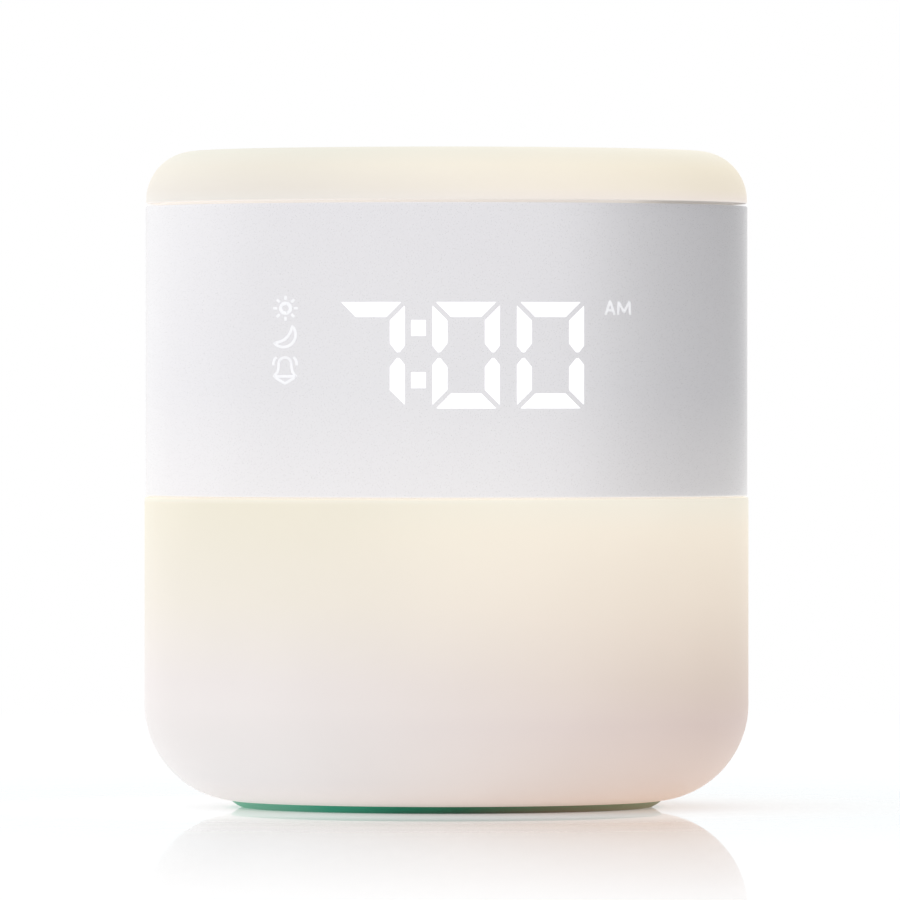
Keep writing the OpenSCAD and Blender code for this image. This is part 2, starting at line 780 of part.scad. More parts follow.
module control_panel() color("lightgray") difference() {
    intersection() {
        union() {
            bar_y(main_back_y, band_r) panel_outline(0);
            intersection() {
                bar_y(main_back_y, band_r) panel_outline(flange_lap);
                rod(flange_r, 0, body_h);
            }
        }
        union() {
            tube(panel_r, panel_in_r, 0, body_h);
            difference() {
                tube(flange_r, flange_r - flange_t, 0, body_h);
                bar_y(0, band_r) panel_outline(-flange_root);
            }
            intersection() {
                panel_bosses(2.6, main_back_y, band_r);
                rod(panel_r, 0, body_h);
            }
        }
    }
    panel_bosses(board_screw_r, main_back_y - cut, main_back_y + 4);
    at_keys() rod_y(0, 0, key_r + slip, main_back_y, band_r + cut);
    rod_y(0, jack_z, jack_nose_r + slip, main_back_y, band_r + cut);
}

module panel_bosses(r, y0, y1) {
    for (x = [-1, 1], z = panel_boss_zs) rod_y(x * panel_boss_x, z, r, y0, y1);
}

// A round key: its top follows the drum, and its flange stops it behind the panel
module key(col, row) {
    x = col * key_pitch_x;
    z = key_rows[row];
    back = key_back_y(x);
    intersection() {
        union() {
            rod_y(x, z, key_r, back - key_flange_t, band_r + cut);
            rod_y(x, z, key_flange_r, back - key_flange_t, back);
            rod_y(x, z, key_stem_r, main_back_y + switch_t + plunger_h, back);
        }
        rod(key_top_r, 0, body_h);
    }
}

module key_plunger(col, row) {
    rod_y(col * key_pitch_x, key_rows[row], plunger_r,
        main_back_y + switch_t - plunger_sunk, main_back_y + switch_t + plunger_h);
}

module time_key() color("white") key(-1, 0);
module alarm_key() color("white") key(0, 0);
module light_key() color("white") key(1, 0);
module sound_key() color("white") key(-1, 1);
module minus_key() color("white") key(0, 1);
module plus_key() color("white") key(1, 1);

module time_plunger() color("black") key_plunger(-1, 0);
module alarm_plunger() color("black") key_plunger(0, 0);
module light_plunger() color("black") key_plunger(1, 0);
module sound_plunger() color("black") key_plunger(-1, 1);
module minus_plunger() color("black") key_plunger(0, 1);
module plus_plunger() color("black") key_plunger(1, 1);

module key_switches() color("silver") at_keys() difference() {
    translate([-switch_w / 2, main_back_y, -switch_w / 2]) cube([switch_w, switch_t, switch_w]);
    rod_y(0, 0, plunger_r + 0.05, main_back_y + switch_t - plunger_sunk - key_travel - 0.2,
        main_back_y + switch_t + cut);
}

module main_board() color("darkgreen") difference() {
    translate([-main_w / 2, main_front_y, main_z0]) cube([main_w, board_t, main_z1 - main_z0]);
    panel_bosses(board_screw_r + fit, main_front_y - cut, main_back_y + cut);
}

// Controller and two light drivers on the main board, and the driver on the display board
module board_chips() color("black") {
    for (at = [[main_front_y - chip_t, panel_z + 1], [box_back_y + board_t, digit_z]])
        translate([-controller_w / 2, at[0], at[1]]) cube([controller_w, chip_t, controller_w]);
    for (x = [-driver_x, driver_x]) translate([x - driver_w / 2, main_front_y - chip_t, panel_z + 2])
        cube([driver_w, chip_t, driver_h]);
}

// Four wire plugs and the two sockets of the display ribbon
module board_connectors() color("ivory") {
    for (x = [-plug_outer_x, -plug_inner_x, plug_inner_x, plug_outer_x])
        translate([x - plug_w / 2, wire_plug_y, plug_z]) cube([plug_w, plug_d, plug_h]);
    for (at = [[main_front_y - ribbon_plug_t, ribbon_main_z], [box_back_y + board_t, ribbon_display_z]])
        translate([-ribbon_plug_w / 2, at[0], at[1] - ribbon_plug_h / 2])
            cube([ribbon_plug_w, ribbon_plug_t, ribbon_plug_h]);
}

// Barrel socket for the mains adapter
module power_jack() color("black") difference() {
    union() {
        translate([-jack_w / 2, main_back_y, jack_z - jack_w / 2])
            cube([jack_w, chord(panel_in_r, jack_w / 2) - 0.3 - main_back_y, jack_w]);
        rod_y(0, jack_z, jack_nose_r, main_back_y, jack_front_y);
    }
    rod_y(0, jack_z, jack_bore_r, jack_front_y - jack_depth, jack_front_y + cut);
}

module jack_pin() color("silver")
    rod_y(0, jack_z, jack_pin_r, jack_front_y - jack_depth, jack_front_y - 1);

// ---------------------------------------------------------------- top light and snooze cap

module top_deck() color("white") difference() {
    union() {
        rod(top_deck_r, top_deck_z, top_deck_top);
        around(post_angles, post_ring_r) rod(post_r + slip + bush_w, bush_z, top_deck_z + eps);
        around(top_screw_angles, top_screw_ring_r) rod(small_pad_r, top_deck_z - 2.4, top_board_z);
        around(boss_angles, boss_ring_r) rod(pad_r - 0.1, top_deck_pad_z, top_deck_z + eps);
    }
    around(post_angles, post_ring_r) rod(post_r + slip, bush_z - cut, top_deck_top + cut);
    around(boss_angles, boss_ring_r) {
        rod(case_screw_r + fit, top_deck_pad_z - cut, top_deck_top + cut);
        rod(case_head_r + fit, top_deck_top - case_head_h, top_deck_top + cut);
    }
    around(top_screw_angles, top_screw_ring_r)
        rod(board_screw_r, top_board_z - board_screw_l + board_t, top_board_z + cut);
    translate([plug_inner_x, top_hole_y, 0]) rod(3, top_deck_z - cut, top_deck_top + cut);
}

module top_light_board() color("darkgreen") difference() {
    rod(top_board_r, top_board_z, top_board_top);
    around(top_screw_angles, top_screw_ring_r)
        rod(board_screw_r + fit, top_board_z - cut, top_board_top + cut);
}

module top_leds() color("lightyellow")
    around([for (i = [0 : 11]) 30 * i], top_led_ring_r)
        translate([-2.5, -2.5, top_board_top]) cube([5, 5, led_t]);

module snooze_switch() color("silver") difference() {
    translate([-switch_w / 2, -switch_w / 2, top_board_top]) cube([switch_w, switch_w, switch_t]);
    rod(plunger_r + 0.05, snooze_z - plunger_sunk - cap_travel - 0.2, snooze_z + cut);
}

module snooze_plunger() color("black")
    rod(plunger_r, snooze_z - plunger_sunk, snooze_z + snooze_plunger_h);

function coil(turns, r, z0, z1, steps) = [for (i = [0 : turns * steps])
    [r * cos(360 * i / steps), r * sin(360 * i / steps), z0 + (z1 - z0) * i / (turns * steps)]];

module return_springs() color("lightsteelblue") around(post_angles, post_ring_r)
    wire(coil(spring_turns, spring_r, top_deck_top + spring_wire_r + 0.02,
        spring_top_z - spring_wire_r - 0.02, 12), spring_wire_r, 6, [0, 0, 1]);

// Opal cap: a rounded lid with a skirt inside the band, three guide posts and a snooze post
module top_cap() color("linen") difference() {
    union() {
        rotate_extrude() {
            difference() {
                round_top(cap_r, cap_rim_z, body_h, top_fillet);
                round_top(cap_r - wall, cap_rim_z - cut, cap_ceiling_z, top_fillet - wall);
            }
            skirt_r = band_in_r - 0.3;
            translate([skirt_r - skirt_w, cap_rim_z - skirt_h]) square([skirt_w, skirt_h + 2.2]);
            translate([skirt_r - eps, cap_rim_z]) square([cap_r - wall - skirt_r + 2 * eps, 2.2]);
        }
        around(post_angles, post_ring_r) {
            rod(post_r, post_end_z, cap_ceiling_z + eps);
            rod(post_collar_r, spring_top_z, cap_ceiling_z + eps);
        }
        rod(3, snooze_z + snooze_plunger_h, cap_ceiling_z + eps);
    }
    around(post_angles, post_ring_r) rod(cap_screw_r, post_end_z - cut, post_end_z + cap_screw_l);
}

// Screws with broad heads that catch under the deck's bushes and keep the cap on
module cap_screws() color("silver") around(post_angles, post_ring_r)
    translate([0, 0, post_end_z]) screw(cap_screw_r, cap_head_r, cap_head_h, cap_screw_l - 1);

// ---------------------------------------------------------------- fasteners and wiring

// Twelve alike: four each in the base, the middle deck and the top deck
module case_screws() color("silver") {
    around(base_angles, base_screw_ring_r)
        translate([0, 0, base_z + case_head_h + 0.4]) case_screw();
    around(boss_angles, boss_ring_r) translate([0, 0, mid_deck_z]) case_screw();
    around(boss_angles, boss_ring_r) translate([0, 0, top_deck_top - case_head_h])
        mirror([0, 0, 1]) case_screw();
}

// Small screws: display board, main board, both light boards and the cell holder
module board_screws() color("silver") {
    display_screws() board_screw();
    for (x = [-1, 1], z = panel_boss_zs)
        translate([x * panel_boss_x, main_front_y, z]) rotate([-90, 0, 0]) board_screw();
    around(light_screw_angles, light_screw_ring_r)
        translate([0, 0, mid_deck_z - board_t]) board_screw();
    around(top_screw_angles, top_screw_ring_r)
        translate([0, 0, top_board_top]) mirror([0, 0, 1]) board_screw();
    translate([0, -door_y, 0]) around(holder_ear_angles, holder_ear_r)
        translate([0, 0, floor_z + holder_t]) mirror([0, 0, 1])
            screw(board_screw_r, board_head_r, board_head_h, 4);
}

// Hand-placed routes of the wires, each up to its plug
function to_plug(x) = [[x, deck_hole_y, mid_deck_z - 13], [x, deck_hole_y + 0.5, mid_deck_z + 3],
    [x, (deck_hole_y + wire_end_y) / 2 - 1.6, plug_z + 1.6], [x, wire_end_y - 3.3, plug_z + 2],
    [x, wire_end_y, plug_z + 2]];
speaker_route = concat([[-9, 20, 11.5], [-plug_outer_x, deck_hole_y, 18]], to_plug(-plug_outer_x));
cell_route = concat([[4, -13, 11.9], [10, 6, 20]], to_plug(plug_outer_x));
lower_light_route = [[-plug_inner_x, ring_hole_y, mid_deck_z + 0.1],
    [-plug_inner_x, ring_hole_y - 0.5, mid_deck_top + 2],
    [-plug_inner_x, ring_hole_y - 5, mid_deck_top + 4], [-plug_inner_x, wire_end_y - 4.9, plug_z - 1],
    [-plug_inner_x, wire_end_y - 3.8, plug_z + 1.8], [-plug_inner_x, wire_end_y, plug_z + 2]];
top_light_route = [[plug_inner_x, top_hole_y, top_board_z - 0.1],
    [plug_inner_x, top_hole_y, top_deck_z - 6], [plug_inner_x, top_hole_y, digit_z],
    [plug_inner_x, top_hole_y + 0.3, plug_z + 8.5],
    [plug_inner_x, wire_end_y - 4.7, plug_z + 2.3], [plug_inner_x, wire_end_y, plug_z + 2]];

module wire_harness() color("firebrick")
    for (route = [speaker_route, cell_route, lower_light_route, top_light_route])
        wire(curve(route, 4), wire_r, 8, [1, 0, 0]);

// Flat ribbon from the display board to the main board, bent in an easy curve under the boards
module display_ribbon() color("wheat") {
    y0 = box_back_y + board_t + ribbon_plug_t + 0.05;
    y1 = main_front_y - ribbon_plug_t - 0.05;
    line = curve([[y0, ribbon_display_z], [y0 + 3, ribbon_display_z],
        [y0 + 10, ribbon_display_z - 5], [-10, box_z0 - 7.2], [8, box_z0 - 6.7],
        [y1 - 10, ribbon_main_z - 7],
        [y1 - 3, ribbon_main_z], [y1, ribbon_main_z]], 3);
    n = len(line) - 1;
    side = [for (i = [0 : n]) let (t = unit(line[min(i + 1, n)] - line[max(i - 1, 0)]))
        ribbon_t / 2 * [-t[1], t[0]]];
    rotate([90, 0, 90]) linear_extrude(height = ribbon_w, center = true)
        polygon(concat([for (i = [0 : n]) line[i] + side[i]],
            [for (i = [n : -1 : 0]) line[i] - side[i]]));
}

foot_ring();
base_plate();
battery_door();
coin_cell();
cell_holder();
cell_contacts();
speaker_gasket();
speaker_frame();
speaker_cone();
speaker_magnet();
lower_diffuser();
core_frame();
lower_light_board();
lower_leds();
display_band();
light_box();
lit_light_pipes();
dark_light_pipes();
display_board();
display_leds();
control_panel();
time_key();
alarm_key();
light_key();
sound_key();
minus_key();
plus_key();
time_plunger();
alarm_plunger();
light_plunger();
sound_plunger();
minus_plunger();
plus_plunger();
key_switches();
main_board();
board_chips();
board_connectors();
power_jack();
jack_pin();
top_deck();
top_light_board();
top_leds();
snooze_switch();
snooze_plunger();
return_springs();
top_cap();
cap_screws();
case_screws();
board_screws();
wire_harness();
display_ribbon();
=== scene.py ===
"""Bedside alarm clock for children, with a night light: the looks of its pieces, foot to cap."""
import math

import bmesh
import bpy
import numpy as np
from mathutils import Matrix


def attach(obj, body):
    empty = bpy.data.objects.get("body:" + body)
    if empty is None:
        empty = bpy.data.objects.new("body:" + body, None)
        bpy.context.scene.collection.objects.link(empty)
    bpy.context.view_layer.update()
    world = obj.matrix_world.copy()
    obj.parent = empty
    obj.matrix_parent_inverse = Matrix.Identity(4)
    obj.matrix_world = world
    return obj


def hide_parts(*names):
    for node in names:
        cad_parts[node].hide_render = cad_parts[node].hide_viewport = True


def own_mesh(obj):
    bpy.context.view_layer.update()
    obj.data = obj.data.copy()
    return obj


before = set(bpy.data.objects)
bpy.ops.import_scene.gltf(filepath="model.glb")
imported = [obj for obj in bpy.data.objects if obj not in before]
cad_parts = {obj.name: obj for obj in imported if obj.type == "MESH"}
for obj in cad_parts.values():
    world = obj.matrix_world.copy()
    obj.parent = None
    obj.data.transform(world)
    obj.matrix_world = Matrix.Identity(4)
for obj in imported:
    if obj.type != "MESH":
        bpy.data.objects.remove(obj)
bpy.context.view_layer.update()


# ---------------------------------------------------------------- foot ring
# Ring that the clock stands on, compression moulded in green silicone. Its lip is trapped over the
# base plate's rim, and three notches at the back let the sound out.

MM = 0.001


def linear(code):
    """sRGB hex to linear RGBA: a channel c becomes ((c + 0.055) / 1.055) to the power 2.4, or
    c / 12.92 where it is dark."""
    srgb = np.array([int(code[i:i + 2], 16) / 255 for i in (1, 3, 5)])
    return (*np.where(srgb > 0.04045, ((srgb + 0.055) / 1.055) ** 2.4, srgb / 12.92).tolist(), 1.0)


def add(finish, kind, inputs, stops=(), **settings):
    """Adds a node to a material or world. A value of inputs is a number, a colour or an output to
    link, and stops are a colour ramp's (place, hex) pairs, with the two ends first."""
    tree = finish.node_tree
    made = tree.nodes.new(kind)
    for key, value in settings.items():
        setattr(made, key, value)
    for socket, value in inputs.items():
        if isinstance(value, bpy.types.NodeSocket):
            tree.links.new(value, made.inputs[socket])
        else:
            made.inputs[socket].default_value = value
    for i, (place, code) in enumerate(stops):
        bar = made.color_ramp.elements
        stop = bar[i] if i < 2 else bar.new(place)
        stop.position, stop.color = place, linear(code)
    return made


def material(name):
    """A material with no nodes yet."""
    made = bpy.data.materials.new(name)
    made.use_nodes = True
    made.node_tree.nodes.clear()
    return made


def moulded(name, deep, pale, roughness, grain, relief, **finish):
    """A moulded surface: the colour drifts between two tones over 15 mm, and a noise as wide as the
    tool's texture (grain, in mm) gives the roughness and the relief (in mm). The real textures are
    finer than a quarter of a millimetre, and are drawn coarser so that they show."""
    made = material(name)
    at = add(made, "ShaderNodeTexCoord", {}).outputs["Object"]
    drift = add(made, "ShaderNodeTexNoise", {"Vector": at, "Scale": 1 / (15 * MM)})
    texture = add(made, "ShaderNodeTexNoise",
                  {"Vector": at, "Scale": 1 / (grain * MM), "Detail": 1.0})
    tone = add(made, "ShaderNodeMix", {0: drift.outputs[0], 6: linear(deep), 7: linear(pale)},
               data_type="RGBA")
    rough = add(made, "ShaderNodeMapRange",
                {0: texture.outputs[0], 3: roughness - 0.06, 4: roughness + 0.06})
    bump = add(made, "ShaderNodeBump", {"Height": texture.outputs[0], "Distance": relief * MM})
    shader = add(made, "ShaderNodeBsdfPrincipled", {
        "Base Color": tone.outputs[2], "Roughness": rough.outputs[0], "Normal": bump.outputs[0],
        **finish})
    add(made, "ShaderNodeOutputMaterial", {0: shader.outputs[0]})
    return made


def arc(centre, radius, start, end, steps):
    """Points on a circle from one angle to another, in degrees: 0 points outwards and 90 up."""
    a = np.radians(np.linspace(start, end, steps + 1))
    return np.stack([centre[0] + radius * np.cos(a), centre[1] + radius * np.sin(a)], 1)


def grid(points, wrap_n, wrap_m):
    """A part made of n rows of m points: its points in one list, and the corner numbers of the
    quads between neighbours. The rows and the columns close round where asked."""
    n, m = points.shape[:2]
    i, k = np.meshgrid(np.arange(n - (not wrap_n)), np.arange(m - (not wrap_m)), indexing="ij")
    j, h = (i + 1) % n, (k + 1) % m
    quads = np.stack([i * m + k, j * m + k, j * m + h, i * m + h], -1)
    return points.reshape(-1, 3), quads.reshape(-1, 4)


def piece(name, parts, finish, body, slot, *nodes):
    """Makes one piece of parts, each with its points in mm and its quads. It welds seams and poles,
    turns the faces outwards, keeps edges sharp that turn by more than 35 degrees, and lets the
    piece ride on a body in the place of some CAD nodes."""
    points = np.concatenate([p for p, _ in parts])
    starts = np.cumsum([0] + [len(p) for p, _ in parts[:-1]])
    quads = np.concatenate([q + s for (_, q), s in zip(parts, starts)])
    mesh = bpy.data.meshes.new(name)
    mesh.from_pydata((points * MM).tolist(), [], quads.tolist())
    shell = bmesh.new()
    shell.from_mesh(mesh)
    bmesh.ops.remove_doubles(shell, verts=shell.verts, dist=0.0005 * MM)
    bmesh.ops.dissolve_degenerate(shell, edges=shell.edges, dist=0.0002 * MM)
    bmesh.ops.recalc_face_normals(shell, faces=shell.faces)
    shell.to_mesh(mesh)
    shell.free()
    mesh.polygons.foreach_set("use_smooth", np.ones(len(mesh.polygons), bool))
    mesh.set_sharp_from_angle(angle=math.radians(35))
    mesh.materials.append(finish)
    made = bpy.data.objects.new(name, mesh)
    bpy.context.scene.collection.objects.link(made)
    even = made.modifiers.new("even", "WEIGHTED_NORMAL")
    even.keep_sharp = True
    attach(made, body)
    if nodes:
        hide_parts(*nodes)
    return made


def notched_ring(section, roof, half_width, notches):
    """A section (radius, height) carried round an upright axis. In a notch, every point below the
    notch's roof is lifted to it, and a notch's sides are parallel: at radius r they stand at its
    middle angle plus or minus asin(half width / r)."""
    r, z = section.T
    half = np.degrees(np.arcsin(half_width / r))
    a, heights = [], []
    for here, ahead in zip(notches, notches[1:] + (notches[0] + 360,)):
        for start, end in ((here - half, here + half), (here + half, ahead - half)):
            a.append(np.linspace(start, end, max(int((end - start).min()), 12) + 1))
            heights.append(np.tile(np.maximum(z, roof) if len(a) % 2 else z, (len(a[-1]), 1)))
    a, z = np.radians(np.concatenate(a)), np.concatenate(heights)
    return grid(np.stack([r * np.cos(a), r * np.sin(a), z], -1), True, True)


def paint_side_light(finish, half_width, tints):
    """Painted light on a finish: an emitted tint that changes along X, from minus to plus the half
    width, in mm."""
    at = add(finish, "ShaderNodeTexCoord", {}).outputs["Object"]
    across = add(finish, "ShaderNodeSeparateXYZ", {0: at}).outputs[0]
    share = add(finish, "ShaderNodeMapRange", {0: across, 1: -half_width * MM, 2: half_width * MM})
    tint = add(finish, "ShaderNodeValToRGB", {0: share.outputs[0]}, stops=tints)
    shader = finish.node_tree.nodes["Principled BSDF"]
    finish.node_tree.links.new(tint.outputs[0], shader.inputs["Emission Color"])
    shader.inputs["Emission Strength"].default_value = 1.0


FOOT_R, FLAT_R, FOOT_IN_R = 40.0, 37.7, 36.4      # outer edge, and the flat that it stands on
FOOT_H, FOOT_EDGE_R = 1.2, 0.3
LIP_IN_R, LIP_LOW, LIP_TOP = 34.9, 2.3, 3.2
NOTCH_ROOF, NOTCH_HALF_W, NOTCH_ANGLES = 0.9, 4.5, (40, 90, 140)

# satin skin; silicone takes a fine tool texture and has an IOR of 1.41. An emitted tint paints
# light
# on it: pale green at the left, where the light falls, and at the right a warm painted reflection
# of the warm side of the body
green_silicone = moulded("green_silicone", "#157A5B", "#1E8B69", 0.45, 0.5, 0.004, IOR=1.41)
paint_side_light(green_silicone, FOOT_R, [
    (0.0, "#58816F"), (1.0, "#6E5540"), (0.12, "#4C7465"), (0.23, "#236150"), (0.4, "#0A3427"),
    (0.53, "#1A0E08"), (0.64, "#3C100E"), (0.77, "#552A22")])

# the flank flares: from the flat to the outer edge, its radius grows with the height ^ 0.625
flank_z = np.array([0, 0.02, 0.06, 0.15, 0.3, 0.45, 0.6, 0.75, NOTCH_ROOF, 1.05, FOOT_H])
flank_r = FLAT_R + (FOOT_R - FLAT_R) * (flank_z / FOOT_H) ** 0.625
foot_section = np.concatenate([
    arc((FOOT_IN_R + FOOT_EDGE_R, FOOT_EDGE_R), FOOT_EDGE_R, 180, 270, 4),
    np.stack([flank_r, flank_z], 1),
    [(FOOT_R, LIP_TOP), (LIP_IN_R, LIP_TOP), (LIP_IN_R, LIP_LOW), (FOOT_IN_R, LIP_LOW),
     (FOOT_IN_R, NOTCH_ROOF)]])
piece("silicone_foot", [notched_ring(foot_section, NOTCH_ROOF, NOTCH_HALF_W, NOTCH_ANGLES)],
      green_silicone, "clock_body", "green_silicone", "foot_ring")


# ---------------------------------------------------------------- base plate and cell door
# White injection-moulded ABS disc with grille slots, screw wells and a bayonet for the grey door.
# The tool's fine spark texture keeps it matt.

def dress(finish, *nodes):
    """CAD nodes take a finish. Their triangles are welded and shaded smooth, apart from edges that
    turn by more than 32 degrees."""
    for name in nodes:
        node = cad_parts[name]
        mesh = node.data
        mesh.materials.clear()
        mesh.materials.append(finish)
        if "custom_normal" in mesh.attributes:
            mesh.attributes.remove(mesh.attributes["custom_normal"])
        mesh.polygons.foreach_set("use_smooth", np.ones(len(mesh.polygons), bool))
        weld = node.modifiers.new("weld", "WELD")
        weld.merge_threshold = 0.002 * MM
        split = node.modifiers.new("edges", "EDGE_SPLIT")
        split.split_angle = math.radians(32)


white_abs = moulded("white_abs_spark_texture", "#E3E2E0", "#ECEBE9", 0.55, 0.35, 0.012, IOR=1.54)
grey_abs = moulded("grey_abs_spark_texture", "#C6C7CB", "#D0D1D4", 0.5, 0.35, 0.012, IOR=1.54)
dress(white_abs, "base_plate")
dress(grey_abs, "battery_door")


# ---------------------------------------------------------------- back-up cell
# Steel coin cell in a black nylon cup, held by two stamped brass leaves. The steel is nickel
# plated and faintly brushed.

def plated(name, code, roughness, streak):
    """Plated metal: a noise that is stretched eightfold along X gives brush marks as wide as the
    streak, in mm."""
    made = material(name)
    at = add(made, "ShaderNodeTexCoord", {}).outputs["Object"]
    along = add(made, "ShaderNodeMapping", {0: at, 3: (0.125, 1, 1)})
    marks = add(made, "ShaderNodeTexNoise",
                {"Vector": along.outputs[0], "Scale": 1 / (streak * MM)})
    rough = add(made, "ShaderNodeMapRange",
                {0: marks.outputs[0], 3: roughness - 0.08, 4: roughness + 0.08})
    bump = add(made, "ShaderNodeBump", {"Height": marks.outputs[0], "Distance": 0.004 * MM})
    shader = add(made, "ShaderNodeBsdfPrincipled", {
        "Base Color": linear(code), "Metallic": 1.0, "Roughness": rough.outputs[0],
        "Normal": bump.outputs[0]})
    add(made, "ShaderNodeOutputMaterial", {0: shader.outputs[0]})
    return made


# nickel plate is a warm grey mirror, dulled by brush marks. Moulded nylon is a dull black, and
# brass from the press is yellow and bright
nickel = plated("nickel_plated_steel", "#C8C6C1", 0.3, 0.4)
black_nylon = moulded("black_nylon", "#17171A", "#202024", 0.5, 0.4, 0.01, IOR=1.53)
dress(nickel, "coin_cell")
dress(black_nylon, "cell_holder")
dress(plated("stamped_brass", "#C9A45A", 0.32, 0.3), "cell_contacts")


# ---------------------------------------------------------------- speaker
# Pressed steel basket on a foam gasket, over the grille of the base plate. In it are a black paper
# cone and its voice coil, with a ferrite magnet behind them.

# foam and pressed paper are dull and soak up light, zinc plate has a cool shine, and sintered
# ferrite is dark and sandy
dress(moulded("closed_cell_foam", "#161616", "#222222", 0.9, 0.25, 0.05), "speaker_gasket")
dress(plated("zinc_plated_basket", "#A9AAAD", 0.38, 0.5), "speaker_frame")
dress(moulded("pressed_paper", "#1C1C1D", "#29292A", 0.85, 0.6, 0.04), "speaker_cone")
dress(moulded("ferrite", "#2B2B2D", "#3A3A3D", 0.6, 0.8, 0.02), "speaker_magnet")


# ---------------------------------------------------------------- lower diffuser
# The night light: a thick opal polycarbonate shell, moulded in one piece with its floor. A ring of
# LEDs under its rim lights it from inside, so it glows warm near the seam and fades downwards. Part
# of that glow is painted light and shade: it changes from left to right with the fall of the light,
# and a bright line in the seam is painted light.

def revolved(profile, turns=288, centre=(0, 0)):
    """A closed profile of (radius, height) turned about an upright axis: point (i, k) stands at
    radius k from the axis, at angle 360 i / turns and at height k."""
    a = np.radians(np.arange(turns) * 360 / turns)[:, None]
    r, z = np.asarray(profile, float).T
    return grid(np.stack([centre[0] + r * np.cos(a), centre[1] + r * np.sin(a), z + 0 * a], -1),
                True, True)


def opal(name, low, high, glow, warm, gap_top=0):
    """Opal polycarbonate: white plastic that also glows, in colours that change with the height
    from low to high, in mm, and from glow at the left to warm at the right. The glow is partly the
    night light's own and partly painted light and shade: the change from left to right paints the
    fall of the light, and bright stops of the ramps paint light in the seams. A soft noise clouds
    the glow, and the moulded skin is satin. At the right, what lies in the gap under gap_top gets a
    painted shadow: its glow is dimmed."""
    made = material(name)
    at = add(made, "ShaderNodeTexCoord", {}).outputs["Object"]
    height = add(made, "ShaderNodeSeparateXYZ", {0: at})
    cloud = add(made, "ShaderNodeTexNoise", {"Vector": at, "Scale": 1 / (28 * MM), "Detail": 1.5})
    level = add(made, "ShaderNodeMapRange", {0: height.outputs[2], 1: low * MM, 2: high * MM})
    right = add(made, "ShaderNodeMapRange", {0: height.outputs[0], 1: -45 * MM, 2: 52 * MM},
                interpolation_type="SMOOTHSTEP")
    shine = add(made, "ShaderNodeMix", {
        0: right.outputs[0],
        6: add(made, "ShaderNodeValToRGB", {0: level.outputs[0]}, stops=glow).outputs[0],
        7: add(made, "ShaderNodeValToRGB", {0: level.outputs[0]}, stops=warm).outputs[0]},
        data_type="RGBA")
    skin = add(made, "ShaderNodeTexNoise", {"Vector": at, "Scale": 1 / (0.4 * MM), "Detail": 1.0})
    tone = add(made, "ShaderNodeMix",
               {0: cloud.outputs[0], 6: linear("#CCC9C7"), 7: linear("#D2CFCD")}, data_type="RGBA")
    rough = add(made, "ShaderNodeMapRange", {0: skin.outputs[0], 3: 0.36, 4: 0.46})
    power = add(made, "ShaderNodeMapRange", {0: cloud.outputs[0], 3: 0.97, 4: 1.03})
    # painted shadow: at the right, the glow of what lies in the gap under gap_top is dimmed, where
    # the light from the left doesn't reach
    if gap_top:
        below = add(made, "ShaderNodeMath", {0: height.outputs[2], 1: gap_top * MM},
                    operation="LESS_THAN")
        gap_shade = add(made, "ShaderNodeMapRange",
                   {0: height.outputs[0], 1: 31 * MM, 2: 42 * MM, 4: 0.42},
                   interpolation_type="SMOOTHSTEP")
        gap_shade = add(made, "ShaderNodeMath", {0: below.outputs[0], 1: gap_shade.outputs[0]},
                   operation="MULTIPLY")
        power = add(made, "ShaderNodeMath", {0: power.outputs[0], 1: gap_shade.outputs[0]},
                    operation="SUBTRACT")
    bump = add(made, "ShaderNodeBump", {"Height": skin.outputs[0], "Distance": 0.004 * MM})
    shader = add(made, "ShaderNodeBsdfPrincipled", {
        "Base Color": tone.outputs[2], "Roughness": rough.outputs[0], "IOR": 1.58,
        "Normal": bump.outputs[0], "Emission Color": shine.outputs[2],
        "Emission Strength": power.outputs[0]})
    add(made, "ShaderNodeOutputMaterial", {0: shader.outputs[0]})
    return made


BODY_R, BODY_WALL, BODY_FILLET = 56.2, 2.2, 18.0
BODY_LOW, BODY_HIGH, BODY_EDGE_R = 1.2, 57.7, 0.3
STEP_R, STEP_Z = 55.3, 56.1                       # step in the rim, for the band's lip
POCKET_R, BORE_R, SEAT_R = 40.1, 31.5, 43.0       # base plate's pocket, frame's bore and its seat
FLOOR_LOW, FLOOR_TOP = 3.2, 5.2

# painted light and shade in the glow: the warm ramp paints the right side, and the stops from 0.945
# up paint a bright line in the seam
body_opal = opal("opal_polycarbonate_body", 0, 60, [
    (0.0, "#A59F9C"), (1.0, "#A0997F"), (0.1, "#959293"), (0.4, "#928988"), (0.64, "#978E7B"),
    (0.945, "#98906F"), (0.953, "#A0997F")], [
    (0.0, "#9C8270"), (1.0, "#B0A998"), (0.27, "#8B6E62"), (0.4, "#937B67"), (0.64, "#A99780"),
    (0.86, "#B5A78F"), (0.95, "#B2AB96")])
# both fillets turn about the hip, the outer one down to the pocket and the inner one to the seat
hip = (BODY_R - BODY_FILLET, BODY_LOW + BODY_FILLET)
in_fillet = BODY_FILLET - BODY_WALL
to_pocket = math.degrees(math.acos((POCKET_R - hip[0]) / BODY_FILLET))
to_seat = math.degrees(math.acos((SEAT_R - hip[0]) / in_fillet))
shell = np.concatenate([
    arc(hip, BODY_FILLET, -to_pocket, 0, 48),
    arc((BODY_R - BODY_EDGE_R, BODY_HIGH - BODY_EDGE_R), BODY_EDGE_R, 0, 90, 6),
    [(STEP_R, BODY_HIGH), (STEP_R, STEP_Z), (BODY_R - BODY_WALL, STEP_Z)],
    arc(hip, in_fillet, 0, -to_seat, 24),
    [(SEAT_R, FLOOR_TOP), (BORE_R, FLOOR_TOP), (BORE_R, FLOOR_LOW), (POCKET_R, FLOOR_LOW)]])
piece("opal_body", [revolved(shell, 360)], body_opal, "clock_body", "opal_polycarbonate",
      "lower_diffuser")


# ---------------------------------------------------------------- inner frame and lower light
# White ABS frame: a flange on the diffuser's floor, a drum that reflects the light, and the deck
# under the display. A ring board with 16 LEDs hangs under the deck.

